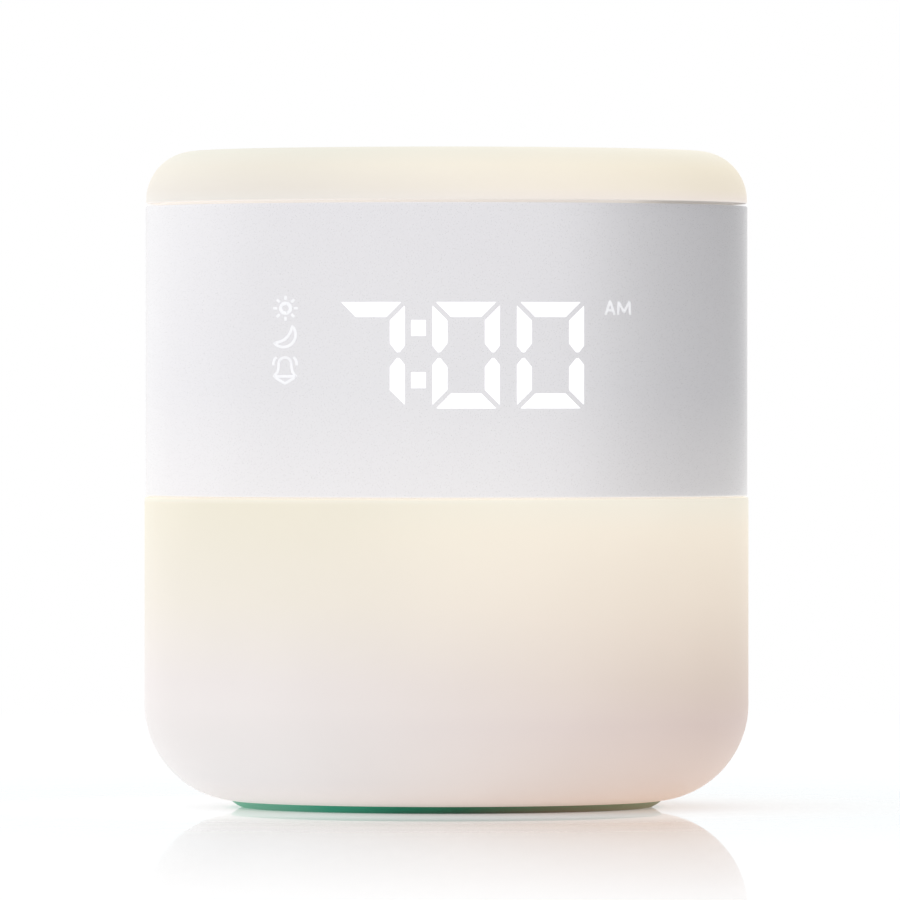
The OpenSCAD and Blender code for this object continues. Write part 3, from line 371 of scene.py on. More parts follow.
def circuit_board(name, mask, copper, pitch):
    """Solder mask over copper: a brick pattern gives tracks that stand a pitch apart, in mm."""
    made = material(name)
    at = add(made, "ShaderNodeTexCoord", {}).outputs["Object"]
    tracks = add(made, "ShaderNodeTexBrick", {
        "Vector": at, "Scale": 1 / (pitch * MM), "Mortar Size": 0.12, "Color1": (0, 0, 0, 1),
        "Color2": (0, 0, 0, 1), "Mortar": (1, 1, 1, 1)})
    tone = add(made, "ShaderNodeMix", {0: tracks.outputs[0], 6: linear(mask), 7: linear(copper)},
               data_type="RGBA")
    bump = add(made, "ShaderNodeBump", {"Height": tracks.outputs[0], "Distance": 0.03 * MM})
    shader = add(made, "ShaderNodeBsdfPrincipled", {
        "Base Color": tone.outputs[2], "Roughness": 0.3, "IOR": 1.55, "Normal": bump.outputs[0]})
    add(made, "ShaderNodeOutputMaterial", {0: shader.outputs[0]})
    return made


# solder mask is a glossy green that shows paler tracks, and an LED's phosphor is a pale yellow
# under clear silicone
green_mask = circuit_board("solder_mask_on_copper", "#0E4A24", "#1B6636", 2.5)
phosphor = moulded("phosphor_under_silicone", "#F2E2A0", "#FFF4CC", 0.3, 0.6, 0.01, IOR=1.41)
dress(white_abs, "core_frame")
dress(green_mask, "lower_light_board")
dress(phosphor, "lower_leds")


# ---------------------------------------------------------------- display band
# Pearl-white lacquered polycarbonate tube between the two opal pieces, with an opening at the back
# for the control panel and eight screw bosses inside. Fine mica in the lacquer gives the sheen.

BAND_R, BAND_IN_R, BAND_EDGE_R = 56.0, 53.8, 0.25
BAND_LOW, BAND_HIGH = 57.9, 111.75
OPENING = (23.1, 64.9, 101.1, 4.1)      # half width, bottom, top and corner radius
BOSS_ANGLES, BOSS_RING_R, BOSS_R, BOSS_H = (20, 160, 200, 340), 50.6, 3.4, 11.0
PILOT_R, PILOT_DEPTH = 1.25, 10.0
DECK_PAD_Z = 102.65                     # pads under the top deck, which the upper bosses meet
LAP_GAP, LAP_TOP = 0.1, 59.5            # clearance of the lip in the body's step, and the lip's top


def pearl_lacquer():
    """Pearl lacquer: mica under a clear coat gives a soft sheen. Its flakes are 0.3 mm wide, which
    is coarser than real ones so that they show, and each has its own gloss. The tube's lower 20 mm
    glows faintly, most at its bottom edge: painted light, so that the tube looks lit from below and
    no dark line shows in the seam."""
    made = material("pearl_lacquer")
    at = add(made, "ShaderNodeTexCoord", {}).outputs["Object"]
    flakes = add(made, "ShaderNodeTexVoronoi", {"Vector": at, "Scale": 1 / (0.3 * MM)})
    drift = add(made, "ShaderNodeTexNoise", {"Vector": at, "Scale": 1 / (40 * MM)})
    tone = add(made, "ShaderNodeMix",
               {0: drift.outputs[0], 6: linear("#EFEDF1"), 7: linear("#F4F3F5")}, data_type="RGBA")
    rough = add(made, "ShaderNodeMapRange", {0: flakes.outputs[0], 3: 0.26, 4: 0.34})
    bump = add(made, "ShaderNodeBump", {"Height": flakes.outputs[0], "Distance": 0.001 * MM})
    height = add(made, "ShaderNodeSeparateXYZ", {0: at}).outputs[2]
    low = BAND_LOW * MM
    # painted light: a faint warm glow over the lower 20 mm, and a stronger one at the bottom edge
    wall = add(made, "ShaderNodeMapRange", {0: height, 1: low, 2: 78 * MM, 3: 0.07, 4: 0})
    edge = add(made, "ShaderNodeMapRange", {0: height, 1: low, 2: 58.3 * MM, 3: 0.12, 4: 0})
    painted_low_light = add(made, "ShaderNodeMath", {0: wall.outputs[0], 1: edge.outputs[0]}, operation="ADD")
    shader = add(made, "ShaderNodeBsdfPrincipled", {
        "Base Color": tone.outputs[2], "Roughness": rough.outputs[0], "Metallic": 0.35,
        "Normal": bump.outputs[0], "Coat Weight": 0.5, "Coat Roughness": 0.12,
        "Emission Color": linear("#FFEFD6"), "Emission Strength": painted_low_light.outputs[0]})
    add(made, "ShaderNodeOutputMaterial", {0: shader.outputs[0]})
    return made


def on_band(x, z, r):
    """Points (x, z), seen along Y, on the back half of a tube: y is the root of r squared less x
    squared."""
    return np.stack([x, np.sqrt(r * r - x * x), z], -1)


def long_way_round(r):
    """Angles at radius r from one side of the opening, round the front, to its other side. A side
    stands asin(half width / r) away from straight back."""
    side = math.degrees(math.asin(OPENING[0] / r))
    return np.radians(np.linspace(90 + side, 450 - side, 301))


def opening_columns():
    """Places along X of the strips above and below the opening, closer together at its corners."""
    half, _, _, corner = OPENING
    ends = np.linspace(half - corner, half, 7)
    middle = np.linspace(corner - half, half - corner, 37)
    return np.unique(np.concatenate([-ends, middle, ends]).round(6))


def band_wall(r):
    """The tube at radius r with its opening, as grids: the long way round, the strips above and
    below the opening, and its four corners. A corner is ruled from its arc to its two sides."""
    half, low, high, corner = OPENING
    zs_low = np.linspace(BAND_LOW + BAND_EDGE_R, low, 5)
    zs_mid = np.linspace(low + corner, high - corner, 13)
    zs_high = np.linspace(high, BAND_HIGH - BAND_EDGE_R, 6)
    zs_corners = [np.linspace(low, low + corner, 7), np.linspace(high - corner, high, 7)]
    zs = np.unique(np.concatenate([zs_low, zs_mid, zs_high] + zs_corners).round(6))
    a = long_way_round(r)[:, None]
    wall = [np.stack([r * np.cos(a) + 0 * zs, r * np.sin(a) + 0 * zs, zs + 0 * a], -1)]
    for rows in (zs_low, zs_high):
        x, z = np.meshgrid(opening_columns(), rows, indexing="ij")
        wall.append(on_band(x, z, r))
    quarter = np.radians(np.linspace(0, 90, 13))
    share = np.linspace(0, 1, 4)[:, None]
    turn = np.linspace(0, 2, 13)          # 0 to 1 up the corner's side, and 1 to 2 along its bottom
    side_x = np.where(turn <= 1, half, half - corner * (turn - 1))
    side_z = np.where(turn <= 1, corner * (1 - turn), 0)
    arc_x, arc_z = half - corner + corner * np.cos(quarter), corner - corner * np.sin(quarter)
    for sx in (-1, 1):
        for base, sz in ((low, 1), (high, -1)):
            x = sx * (arc_x + share * (side_x - arc_x))
            z = base + sz * (arc_z + share * (side_z - arc_z))
            wall.append(on_band(x, z, r))
    return [grid(points, False, False) for points in wall]


def opening_edge():
    """The opening's wall between the tube's two radii. It is carried along the outline: a quarter
    circle for each corner, with straight lines between them."""
    half, low, high, corner = OPENING
    quarter = np.radians(np.linspace(0, 90, 13))
    cx, cz = np.cos(quarter) * corner, np.sin(quarter) * corner
    xs = np.linspace(half - corner, corner - half, 37)[1:-1]
    zs = np.linspace(high - corner, low + corner, 13)[1:-1]
    x = np.concatenate([half - corner + cx, xs, corner - half - cx[::-1], -half + 0 * zs,
                        corner - half - cx, -xs, half - corner + cx[::-1], half + 0 * zs])
    z = np.concatenate([high - corner + cz, high + 0 * xs, high - corner + cz[::-1], zs,
                        low + corner - cz, low + 0 * xs, low + corner - cz[::-1], zs[::-1]])
    return [grid(np.stack([on_band(x, z, r) for r in (BAND_R, BAND_IN_R)], 1), True, False)]


def band_rim(z_middle, start):
    """A rim, rounded by an arc at each wall, turned through the same angles and columns as the
    walls so that it welds to them. Its section turns half round from the start angle."""
    outer, inner = (BAND_R - BAND_EDGE_R, z_middle), (BAND_IN_R + BAND_EDGE_R, z_middle)
    first, second = (outer, inner) if start == 0 else (inner, outer)
    r, z = np.concatenate([arc(first, BAND_EDGE_R, start, start + 90, 4),
                           arc(second, BAND_EDGE_R, start + 90, start + 180, 4)]).T
    a = np.stack([long_way_round(radius) for radius in r], 1)
    x = np.repeat(opening_columns()[:, None], len(r), 1)
    return [grid(np.stack([r * np.cos(a), r * np.sin(a), z + 0 * a], -1), False, False),
            grid(on_band(x, z + 0 * x, r), False, False)]


def on_ring(radius, angle):
    """The place (x, y) at a radius from the clock's axis and at an angle in degrees."""
    return radius * math.cos(math.radians(angle)), radius * math.sin(math.radians(angle))


def boss(angle, mouth, up):
    """A screw boss at an angle of the ring, with a blind pilot hole: a section turned about its own
    axis. It runs up (1) or down (-1) from the hole's mouth."""
    end, bottom = mouth + up * BOSS_H, mouth + up * PILOT_DEPTH
    return revolved([(PILOT_R, mouth), (BOSS_R, mouth), (BOSS_R, end), (0, end), (0, bottom),
                     (PILOT_R, bottom)], 36, on_ring(BOSS_RING_R, angle))


lap_r, lap_low = STEP_R - LAP_GAP, STEP_Z + LAP_GAP
lap = revolved([(lap_r, LAP_TOP), (BAND_IN_R, LAP_TOP), (BAND_IN_R, lap_low), (lap_r, lap_low)])
bosses = [boss(angle, mouth, up) for angle in BOSS_ANGLES
          for mouth, up in ((BAND_LOW, 1), (DECK_PAD_Z, -1))]
rims = band_rim(BAND_HIGH - BAND_EDGE_R, 0) + band_rim(BAND_LOW + BAND_EDGE_R, 180)
walls = band_wall(BAND_R) + band_wall(BAND_IN_R) + opening_edge()
piece("pearl_band", walls + rims + [lap] + bosses, pearl_lacquer(), "clock_body", "pearl_band",
      "display_band", "dark_light_pipes")


# ---------------------------------------------------------------- display
# Seven-segment digits: diffuser pieces in the channels of a white box, lit by small LEDs on a board
# behind it. The band's lacquer hides the segments that are off.

def lit_plastic(name, deep, pale, spot, strength):
    """Milky plastic with light behind it: it glows in two tones that drift over spots, in mm."""
    made = material(name)
    at = add(made, "ShaderNodeTexCoord", {}).outputs["Object"]
    spots = add(made, "ShaderNodeTexNoise", {"Vector": at, "Scale": 1 / (spot * MM)})
    tone = add(made, "ShaderNodeMix", {0: spots.outputs[0], 6: linear(deep), 7: linear(pale)},
               data_type="RGBA")
    shader = add(made, "ShaderNodeBsdfPrincipled", {
        "Base Color": tone.outputs[2], "Roughness": 0.35, "Emission Color": tone.outputs[2],
        "Emission Strength": strength})
    add(made, "ShaderNodeOutputMaterial", {0: shader.outputs[0]})
    return made


PIPE_R, PIPE_BACK_R = 56.05, 50.5
DIGIT_W, DIGIT_H, STROKE = 12.2, 19.3, 2.68
HOUR_X, TENS_X, UNIT_X, DIGIT_Z = -13.7, 3.57, 18.93, 83.9
MITRE = 0.67                                # each end's share of the gap between two segments
TIP_GAP, TIP_W, TIP_IN = 0.55, 0.45, 0.95   # a tip's half gap, its width, and how far in it stands
IN_CHAMFER, OUT_CHAMFER = 1.6, 1.2          # heights of a tip's two slopes
DOT_W, DOT_H, COLON_X, COLON_ZS = 2.63, 2.84, -5.1, (88.85, 79.35)


def light_pipe(edge, other_edge):
    """A pipe of the display, ruled between two edges of the same number of points (x, z): the point
    at share s goes straight from one edge to the other, at both radii of the pipe. The two skins
    are the halves of a closed sleeve, and a cover closes each end."""
    share = np.linspace(0, 1, 5)[:, None]
    flat = edge[:, None] + share * (other_edge - edge)[:, None]
    x, z = flat[..., 0], flat[..., 1]
    front, back = [np.stack([x, -np.sqrt(r * r - x * x), z], -1) for r in (PIPE_R, PIPE_BACK_R)]
    sleeve = grid(np.concatenate([front, back[:, ::-1]], 1), False, True)
    return [sleeve] + [grid(np.stack([front[end], back[end]], 1), False, False) for end in (0, -1)]


def through(points, steps):
    """Points along straight lines through some corners (x, z), as many to a line as steps says."""
    at = np.concatenate([[0]] + [i + np.linspace(0, 1, n + 1)[1:] for i, n in enumerate(steps)])
    x, z = np.asarray(points, float).T
    return np.stack([np.interp(at, range(len(x)), x), np.interp(at, range(len(x)), z)], 1)


half_w, half_h = DIGIT_W / 2, DIGIT_H / 2
bar_end = half_w - MITRE
tip_x = half_w - TIP_IN
bar_low = half_h - STROKE
top_bar = [through([(-bar_end, half_h), (bar_end, half_h)], [24]),
           through([(STROKE - bar_end, bar_low), (bar_end - STROKE, bar_low)], [24])]
upright = [through([(tip_x - TIP_W, TIP_GAP), (half_w - STROKE, TIP_GAP + IN_CHAMFER),
                    (half_w - STROKE, half_h - MITRE - STROKE)], [3, 8]),
           through([(tip_x, TIP_GAP), (half_w, TIP_GAP + OUT_CHAMFER), (half_w, half_h - MITRE)],
                   [3, 8])]
segments = {name: [edge * turn for edge in shape] for name, shape, turn in (
    ("a", top_bar, (1, 1)), ("b", upright, (1, 1)), ("c", upright, (1, -1)),
    ("d", top_bar, (1, -1)), ("e", upright, (-1, -1)), ("f", upright, (-1, 1)))}
pipes = []
for x, names in ((HOUR_X, "abc"), (TENS_X, "abcdef"), (UNIT_X, "abcdef")):
    for name in names:
        pipes += light_pipe(*[edge + (x, DIGIT_Z) for edge in segments[name]])
dot = [through([(-DOT_W / 2, z), (DOT_W / 2, z)], [6]) for z in (-DOT_H / 2, DOT_H / 2)]
for z in COLON_ZS:
    pipes += light_pipe(*[edge + (COLON_X, z) for edge in dot])
piece("lit_segments", pipes, lit_plastic("lit_diffuser", "#F6F5FA", "#FFFFFF", 4, 0.55),
      "clock_body", "segment_diffuser", "lit_light_pipes")
dress(white_abs, "light_box")
dress(green_mask, "display_board")
dress(phosphor, "display_leds")


# ---------------------------------------------------------------- icons and AM sign
# Sun, moon and bell at the left and AM at the right: clear strokes in the lacquer, lit from behind
# by their own LEDs, so they glow less than the digits.

STROKE_DEPTH, STROKE_STEP = 0.06, 0.3
SIGN_R, FRONT, BACK = 56.03, -1, 1


def stroke(path, width, r, side, closed):
    """A flat stroke on the drum: a rectangle, as wide as the stroke and as thick as its depth, is
    carried in even steps along the path (x, z), square to it, with its outer face at radius r. The
    path is drawn as it is seen from outside, and its side is the drum's front or back."""
    path = np.asarray(path, float)
    if closed:
        path = np.vstack([path, path[:1]])
    steps = np.linalg.norm(np.diff(path, axis=0), axis=1)
    far = np.concatenate([[0], np.cumsum(steps)])
    even = np.linspace(0, far[-1], int(far[-1] / STROKE_STEP) + 2)
    at = np.unique(np.concatenate([far, even]).round(6))
    x, z = np.interp(at, far, path[:, 0]), np.interp(at, far, path[:, 1])
    if closed:
        x, z = x[:-1], z[:-1]
        along = np.stack([np.roll(x, -1) - np.roll(x, 1), np.roll(z, -1) - np.roll(z, 1)], 1)
    else:
        along = np.stack([np.gradient(x), np.gradient(z)], 1)
    along /= np.linalg.norm(along, axis=1)[:, None]
    u, v = -along[:, 1] * width / 2, along[:, 0] * width / 2
    low = r - STROKE_DEPTH
    corners = [(x + u, z + v, r), (x - u, z - v, r), (x - u, z - v, low), (x + u, z + v, low)]
    points = np.stack([np.stack([-side * a, side * np.sqrt(c * c - a * a), b], 1)
                       for a, b, c in corners], 1)
    points, quads = grid(points, closed, True)
    if not closed:
        last = len(points) - 1
        quads = np.vstack([quads, [[0, 1, 2, 3], [last, last - 1, last - 2, last - 3]]])
    return points, quads


def sign(name, strokes, at, width, finish, body, slot, r, side):
    """A piece of strokes that are drawn about a point (x, z); each stroke is (path, closed)."""
    piece(name, [stroke(np.asarray(path, float) + at, width, r, side, closed)
                 for path, closed in strokes], finish, body, slot)


SUN_R, RAY_IN_R, RAY_OUT_R, MOON_R = 0.9, 1.55, 2.25, 2.25
sun = arc((0, 0), SUN_R, 0, 345, 23)
rays = [([on_ring(RAY_IN_R, angle), on_ring(RAY_OUT_R, angle)], False)
        for angle in range(0, 360, 45)]
# the moon's outer edge is a half circle, tilted by 43 degrees. Its inner edge is a parabola between
# the two tips, 0.8 mm deep; across runs from tip to tip, and belly points to the outer edge
across = np.linspace(-1, 1, 15)[1:-1, None]
tip, belly = np.array([0.731, 0.682]), np.array([0.682, -0.731])
crescent = np.vstack([arc((0, 0), MOON_R, 43, -137, 24),
                      2.2 * across * tip + 0.8 * (1 - across * across) * belly])
bell = np.vstack([arc((0, 1.15), 1.15, 0, 180, 12),
                  [(-1.2, 0.4), (-1.4, -0.4), (-2.05, -1.15)],
                  [(2.05, -1.15), (1.4, -0.4), (1.2, 0.4)]])
clapper = [(-1.75, -1.4), (0, -2.45), (1.75, -1.4)]
ringing = [(arc((-0.55, 1.1), 1.6, 130, 188, 6), False), (arc((0.55, 1.1), 1.6, 50, -8, 6), False)]
letters = [([(0, 0), (0.82, 2.5), (1.64, 0)], False), ([(0.28, 0.8), (1.36, 0.8)], False),
           ([(2.3, 0), (2.4, 2.4), (3.4, 0.45), (4.4, 2.4), (4.5, 0)], False)]
soft_lit = lit_plastic("lit_lacquer", "#EDEDF1", "#F8F8FA", 2, 0.24)
for name, at, width, strokes in (
        ("sun_icon", (-29.35, 92.49), 0.58, [(sun, True)]),
        ("sun_rays", (-29.35, 92.49), 0.42, rays),
        ("moon_icon", (-29.75, 87.67), 0.44, [(crescent, True)]),
        ("bell_icon", (-29.45, 81.22), 0.42, [(bell, True), (clapper, False)] + ringing),
        ("am_sign", (29.0, 91.32), 0.4, letters)):
    sign(name, strokes, at, width, soft_lit, "clock_body", "segment_diffuser", SIGN_R, FRONT)


# ---------------------------------------------------------------- rear panel, keys and socket
# Grey ABS panel let into the band, with six white keys that follow the drum and a power socket.
# Each key has a pad-printed sign in grey ink.

dress(grey_abs, "control_panel")
dress(white_abs, "time_key", "alarm_key", "light_key", "sound_key", "minus_key", "plus_key")
dress(black_nylon, "power_jack", "time_plunger", "alarm_plunger", "light_plunger", "sound_plunger",
      "minus_plunger", "plus_plunger")
dress(nickel, "jack_pin", "key_switches")

# pad-printed ink lies thin and flat, with a satin skin
grey_ink = moulded("pad_printed_ink", "#6E7178", "#7C7F86", 0.5, 0.3, 0.004, IOR=1.5)
horn = [(-1.9, 0.75), (-1.0, 0.75), (0.2, 1.75), (0.2, -1.75), (-1.0, -0.75), (-1.9, -0.75)]
signs = {
    "time": [(arc((0, 0), 2.0, 0, 350, 35), True), ([(0, 1.25), (0, 0), (0.95, -0.55)], False)],
    "alarm": [(bell, True), (clapper, False)],
    "light": [(arc((0, 0.5), 1.5, -55, 235, 24), False),
              ([(-0.86, -0.75), (-0.7, -1.35), (0.7, -1.35), (0.86, -0.75)], False),
              ([(-0.6, -2.0), (0.6, -2.0)], False)],
    "sound": [(horn, True), (arc((0.2, 0), 1.1, -45, 45, 6), False),
              (arc((0.2, 0), 1.9, -45, 45, 8), False)],
    "minus": [([(-1.6, 0), (1.6, 0)], False)],
    "plus": [([(-1.6, 0), (1.6, 0)], False), ([(0, -1.6), (0, -0.19)], False),
             ([(0, 0.19), (0, 1.6)], False)],
}
KEY_PITCH, KEY_HIGH, KEY_LOW = 13.0, 93.8, 81.8
KEY_SIGN_R, KEY_SIGN_W = 56.17, 0.38
for i, (key, strokes) in enumerate(signs.items()):
    at = (1 - i % 3) * KEY_PITCH, KEY_HIGH if i < 3 else KEY_LOW
    sign(key + "_sign", strokes, at, KEY_SIGN_W, grey_ink, key + "_button", "white_abs", KEY_SIGN_R,
         BACK)


# ---------------------------------------------------------------- main board
# Green board behind the panel, with its controller, its drivers and the plugs of the wires. The
# chips are moulded in matt black epoxy, and the plugs in waxy ivory nylon.

dress(green_mask, "main_board")
dress(moulded("epoxy_package", "#1A1A1C", "#232326", 0.4, 0.3, 0.006), "board_chips")
dress(moulded("ivory_nylon", "#E4DDC8", "#EEE8D6", 0.45, 0.4, 0.006), "board_connectors")


# ---------------------------------------------------------------- top light
# White deck with guide bushes for the cap's posts, a round board with 12 LEDs, the snooze switch
# and three sprung steel coils.

dress(white_abs, "top_deck")
dress(green_mask, "top_light_board")
dress(phosphor, "top_leds")
dress(nickel, "snooze_switch")
dress(black_nylon, "snooze_plunger")
DECK_TOP, COLLAR_LOW, CAP_TRAVEL = 106.25, 114.25, 0.4
POST_RING_R, POST_ANGLES = 40.0, (30, 150, 270)
SPRING_R, WIRE_R, SPRING_TURNS, SPRING_CLEAR = 3.4, 0.35, 4.5, 0.02


def coil(centre, low, high, turns, radius, wire_r):
    """Compression spring with a closed coil at each end. At turn t the wire's middle stands at
    angle 360 t on a circle; its height rises by a wire's width in the first and last turn, and
    evenly between them. Eight points stand round it, and a single point closes each end."""
    t = np.concatenate([[0], np.linspace(0, turns, round(36 * turns) + 1), [turns]])
    closed = 2.05 * wire_r
    z = np.interp(t, [0, 1, turns - 1, turns], [low, low + closed, high - closed, high])[:, None]
    wire = np.full((len(t), 1), wire_r)
    wire[[0, -1]] = 0
    a, b = 2 * np.pi * t[:, None], np.arange(8) * np.pi / 4
    r = radius + wire * np.cos(b)
    x, y = centre[0] + r * np.cos(a), centre[1] + r * np.sin(a)
    return grid(np.stack([x, y, z + wire * np.sin(b)], -1), False, True)


seat_gap = WIRE_R + SPRING_CLEAR
coils = [coil(on_ring(POST_RING_R, angle), DECK_TOP + seat_gap, COLLAR_LOW - seat_gap, SPRING_TURNS,
              SPRING_R, WIRE_R) for angle in POST_ANGLES]
# wire drawn through a die is bright, with fine streaks
springs = piece("spring_coils", coils, plated("spring_steel", "#B9BBBF", 0.25, 0.3), "clock_body",
                "steel", "return_springs")
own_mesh(springs)


# ---------------------------------------------------------------- snooze cap
# Opal polycarbonate lid with a skirt that slides inside the band, three guide posts and a post that
# presses the switch. The LEDs under it make it glow, and painted light and shade change that glow
# with the height and from left to right.

# painted light and shade in the glow: the stops up to 0.35 paint the gap under the rim, lighter at
# the left and shaded at the right, and the warm ramp paints the right side
cap_opal = opal("opal_polycarbonate_cap", 106, 124, [
    (0.0, "#B1ACA5"), (1.0, "#7F7E68"), (0.35, "#B1ACA5"), (0.36, "#918C82"), (0.47, "#8B8373"),
    (0.7, "#898269"), (0.85, "#83826A")], [
    (0.0, "#9D9892"), (1.0, "#938D74"), (0.35, "#9D9892"), (0.36, "#ADA094"), (0.47, "#B0A48C"),
    (0.7, "#ADA284"), (0.85, "#9E987E")], gap_top=112.3)
CAP_R, CAP_TOP, CAP_FILLET, CAP_WALL = 55.9, 122.0, 9.1, 2.2
CAP_RIM, CAP_EDGE_R = 112.25, 0.25
SKIRT_R, SKIRT_IN_R, SKIRT_LOW, SKIRT_ROOT = 53.5, 51.7, 107.25, 114.5
COLLAR_R, POST_R, POST_LOW = 4.6, 2.2, 102.15
SCREW_HOLE_R, SCREW_HOLE_DEPTH = 1.0, 7.0
SNOOZE_POST_R, SNOOZE_POST_LOW = 3.0, 113.75

shoulder = (CAP_R - CAP_FILLET, CAP_TOP - CAP_FILLET)
ceiling = CAP_TOP - CAP_WALL
lid = np.concatenate([
    [(0, ceiling), (shoulder[0], ceiling)],
    arc(shoulder, CAP_FILLET - CAP_WALL, 88, 14, 16),
    [(SKIRT_IN_R, SKIRT_ROOT), (SKIRT_IN_R, SKIRT_LOW), (SKIRT_R, SKIRT_LOW), (SKIRT_R, CAP_RIM)],
    arc((CAP_R - CAP_EDGE_R, CAP_RIM + CAP_EDGE_R), CAP_EDGE_R, 270, 360, 5),
    arc(shoulder, CAP_FILLET, 0, 90, 32),
    np.stack([np.linspace(44, 0, 12), np.full(12, CAP_TOP)], 1)])
root = ceiling + 0.01                   # the posts' roots are sunk into the lid
hole_top = POST_LOW + SCREW_HOLE_DEPTH
posts = [revolved([(0, root), (COLLAR_R, root), (COLLAR_R, COLLAR_LOW), (POST_R, COLLAR_LOW),
                   (POST_R, POST_LOW), (SCREW_HOLE_R, POST_LOW), (SCREW_HOLE_R, hole_top),
                   (0, hole_top)], 36, on_ring(POST_RING_R, angle)) for angle in POST_ANGLES]
posts.append(revolved([(0, root), (SNOOZE_POST_R, root), (SNOOZE_POST_R, SNOOZE_POST_LOW),
                       (0, SNOOZE_POST_LOW)], 36))
piece("opal_cap", [revolved(lid, 360)] + posts, cap_opal, "snooze_cap", "opal_polycarbonate",
      "top_cap")


# ---------------------------------------------------------------- screws, wires and ribbon
# Zinc-plated screws, with a cool shine, hold the case, the boards and the cap. Leads in glossy red
# PVC and a shiny amber polyimide ribbon join the boards, the speaker, the cell and the display.

dress(plated("zinc_plated_screws", "#BDBEC2", 0.3, 0.3), "cap_screws", "case_screws",
      "board_screws")
dress(moulded("red_pvc", "#9C1F1C", "#AE2A24", 0.4, 0.6, 0.004, IOR=1.53), "wire_harness")
dress(moulded("polyimide_ribbon", "#B98A3C", "#CB9C4C", 0.3, 1.2, 0.004), "display_ribbon")


# ---------------------------------------------------------------- table
# A pale, faintly glossy table that shades to plain white away from the clock. It lies just under
# the foot, and it can't be seen from below.

TABLE_HALF, TABLE_Z = 9000, -0.02
SHADE_R = FLAT_R - 0.1                  # the dark contact under the foot's flat


def table_top():
    """White table: a diffuse coat that keeps the shadow, and a mirror image that rises from 60 to
    96 mm from the clock's axis and fades out towards 560 mm. For the camera the coat is lifted to
    the white of the background, and from 300 to 700 mm it turns into that white."""
    made = material("white_acrylic_table")
    at = add(made, "ShaderNodeTexCoord", {}).outputs["Object"]
    flat = add(made, "ShaderNodeVectorMath", {0: at, 1: (1, 1, 0)}, operation="MULTIPLY")
    away = add(made, "ShaderNodeVectorMath", {0: flat.outputs[0]},
               operation="LENGTH").outputs["Value"]
    ray = add(made, "ShaderNodeLightPath", {})
    seen = ray.outputs["Is Camera Ray"]
    for other in ("Is Glossy Ray", "Is Transmission Ray"):
        seen = add(made, "ShaderNodeMath", {0: seen, 1: ray.outputs[other]},
                   operation="MAXIMUM").outputs[0]
    lift = add(made, "ShaderNodeMath", {0: seen, 1: 0.3}, operation="MULTIPLY").outputs[0]
    coat = add(made, "ShaderNodeBsdfDiffuse", {"Color": linear("#EFEFEF")})
    glow = add(made, "ShaderNodeEmission", {"Color": (1, 1, 1, 1), "Strength": lift})
    near = add(made, "ShaderNodeAddShader", {0: coat.outputs[0], 1: glow.outputs[0]})
    image = add(made, "ShaderNodeBsdfGlossy", {"Color": (0.96, 0.99, 1, 1), "Roughness": 0.0})
    fade = add(made, "ShaderNodeMapRange", {0: away, 1: 100 * MM, 2: 560 * MM, 3: 0.78, 4: 0.0})
    rise = add(made, "ShaderNodeMapRange", {0: away, 1: 60 * MM, 2: 96 * MM, 3: 0.5, 4: 1.0})
    share = add(made, "ShaderNodeMath", {0: fade.outputs[0], 1: rise.outputs[0]},
                operation="MULTIPLY")
    gloss = add(made, "ShaderNodeMixShader",
                {0: share.outputs[0], 1: near.outputs[0], 2: image.outputs[0]})
    white = add(made, "ShaderNodeEmission", {"Color": (1, 1, 1, 1), "Strength": 1.0})
    plain = add(made, "ShaderNodeMapRange", {0: away, 1: 300 * MM, 2: 700 * MM},
                interpolation_type="SMOOTHSTEP")
    far = add(made, "ShaderNodeMath", {0: plain.outputs[0], 1: seen}, operation="MULTIPLY")
    top = add(made, "ShaderNodeMixShader",
              {0: far.outputs[0], 1: gloss.outputs[0], 2: white.outputs[0]})
    under = add(made, "ShaderNodeMath", {0: away, 1: SHADE_R * MM},
                operation="LESS_THAN").outputs[0]
    # painted shade: for the camera, a dark grey disc under the foot's flat stands for the shade
    # there
    shade = add(made, "ShaderNodeBsdfDiffuse", {"Color": linear("#505050")})
    top = add(made, "ShaderNodeMixShader", {0: under, 1: top.outputs[0], 2: shade.outputs[0]})
    hole = add(made, "ShaderNodeMath", {0: under, 1: ray.outputs["Is Camera Ray"]},
               operation="SUBTRACT", use_clamp=True)
    side = add(made, "ShaderNodeNewGeometry", {}).outputs["Backfacing"]
    clear = add(made, "ShaderNodeMath", {0: hole.outputs[0], 1: side},
                operation="MAXIMUM").outputs[0]
    below = add(made, "ShaderNodeBsdfTransparent", {})
    both = add(made, "ShaderNodeMixShader", {0: clear, 1: top.outputs[0], 2: below.outputs[0]})
    add(made, "ShaderNodeOutputMaterial", {0: both.outputs[0]})
    return made


half = TABLE_HALF * MM
table_mesh = bpy.data.meshes.new("table")
table_mesh.from_pydata([(x * half, y * half, TABLE_Z * MM)
                        for x, y in ((-1, -1), (1, -1), (1, 1), (-1, 1))], [], [(0, 1, 2, 3)])
table_mesh.materials.append(table_top())
table = bpy.data.objects.new("table", table_mesh)
bpy.context.scene.collection.objects.link(table)


# ---------------------------------------------------------------- light
# A white studio: one soft box overhead, in a white surround that dims towards the right and is
# brighter behind the clock at the left.

DIM_SIDE, BRIGHT_SIDE = (0.946, 0.321, 0.051), (-0.822, 0.569, 0)    # unit vectors

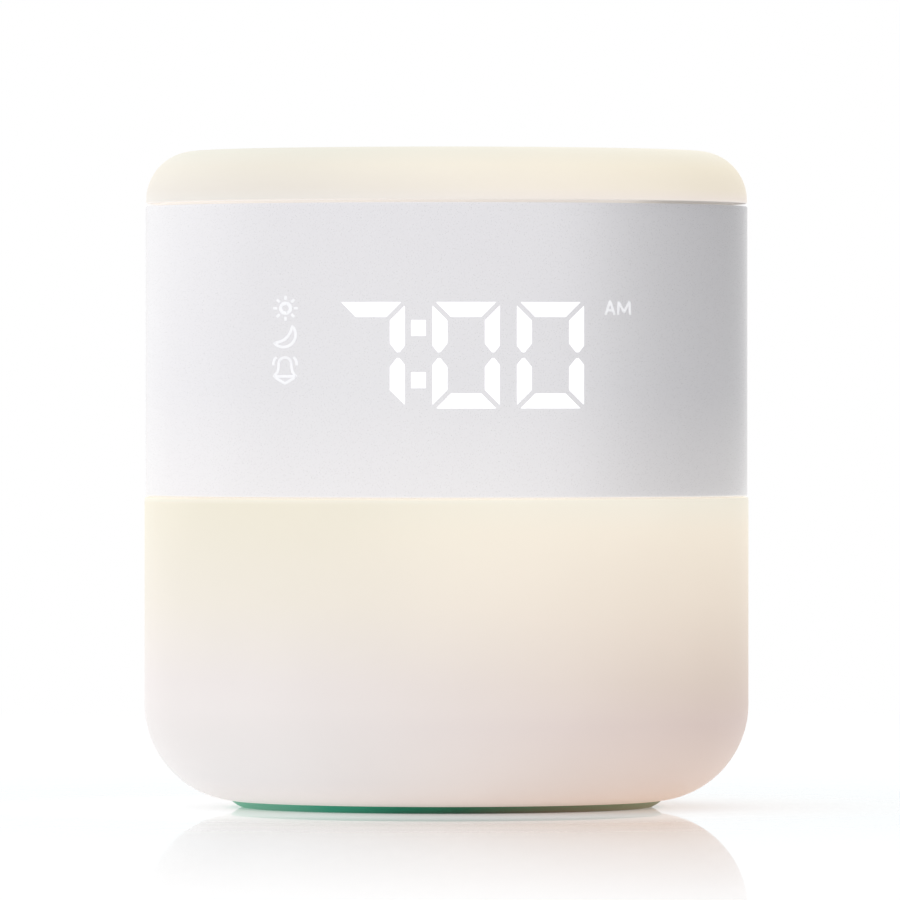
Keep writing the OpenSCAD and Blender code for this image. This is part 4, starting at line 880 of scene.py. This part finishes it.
world = bpy.data.worlds.new("studio")
bpy.context.scene.world = world
world.use_nodes = True
world.node_tree.nodes.clear()
sky = add(world, "ShaderNodeTexCoord", {}).outputs["Generated"]
to_right = add(world, "ShaderNodeVectorMath", {0: sky, 1: DIM_SIDE}, operation="DOT_PRODUCT")
to_left = add(world, "ShaderNodeVectorMath", {0: sky, 1: BRIGHT_SIDE}, operation="DOT_PRODUCT")
dim = add(world, "ShaderNodeMapRange", {0: to_right.outputs["Value"], 1: 0.35, 2: 1.078},
          interpolation_type="SMOOTHSTEP")
bright = add(world, "ShaderNodeMapRange",
             {0: to_left.outputs["Value"], 1: 0.58, 2: 1.0, 3: 0.94, 4: 1.19},
             interpolation_type="SMOOTHSTEP")
surround = add(world, "ShaderNodeMix",
               {0: dim.outputs[0], 6: (1, 1, 1, 1), 7: (0.01, 0.01, 0.01, 1)}, data_type="RGBA")
rays_here = add(world, "ShaderNodeLightPath", {})
shown = rays_here.outputs["Is Camera Ray"]
for other in ("Is Transmission Ray", "Is Singular Ray"):
    shown = add(world, "ShaderNodeMath", {0: shown, 1: rays_here.outputs[other]},
                operation="MAXIMUM").outputs[0]
around = add(world, "ShaderNodeBackground",
             {"Color": surround.outputs[2], "Strength": bright.outputs[0]})
backdrop = add(world, "ShaderNodeBackground", {"Color": (1, 1, 1, 1), "Strength": 1.0})
mixed = add(world, "ShaderNodeMixShader", {0: shown, 1: around.outputs[0], 2: backdrop.outputs[0]})
add(world, "ShaderNodeOutputWorld", {0: mixed.outputs[0]})


def set_up(name, data, place, aim):
    """A lamp or a camera at a place that points to the aim, both in metres. Its tilt up from
    straight down is atan2(distance along the floor, depth), and it is turned towards the aim."""
    made = bpy.data.objects.new(name, data)
    bpy.context.scene.collection.objects.link(made)
    made.location = place
    toward = np.subtract(aim, place)
    floor = math.hypot(toward[0], toward[1])
    made.rotation_euler = (math.atan2(floor, -toward[2]), 0, math.atan2(-toward[0], toward[1]))
    return made


soft_box = bpy.data.lights.new("top_box", "AREA")
soft_box.size, soft_box.energy = 1.6, 2       # metres and watts
lamp = set_up("top_box", soft_box, (-0.3, -0.5, 1.8), (0, 0, 0.06))
lamp.visible_camera = False


# ---------------------------------------------------------------- camera
# A long lens 2.3 m away, a little above the table. It aims near the clock's middle, so the rims
# look almost straight and the table's edge lies out of sight.

lens = bpy.data.cameras.new("camera")
lens.sensor_width, lens.lens = 36, 492        # mm
lens.clip_start, lens.clip_end = 0.1, 50
bpy.context.scene.camera = set_up("camera", lens, (0, -2.29, 0.0765), (0.00065, 0, 0.06644))
bpy.context.scene.view_settings.view_transform = "Standard"
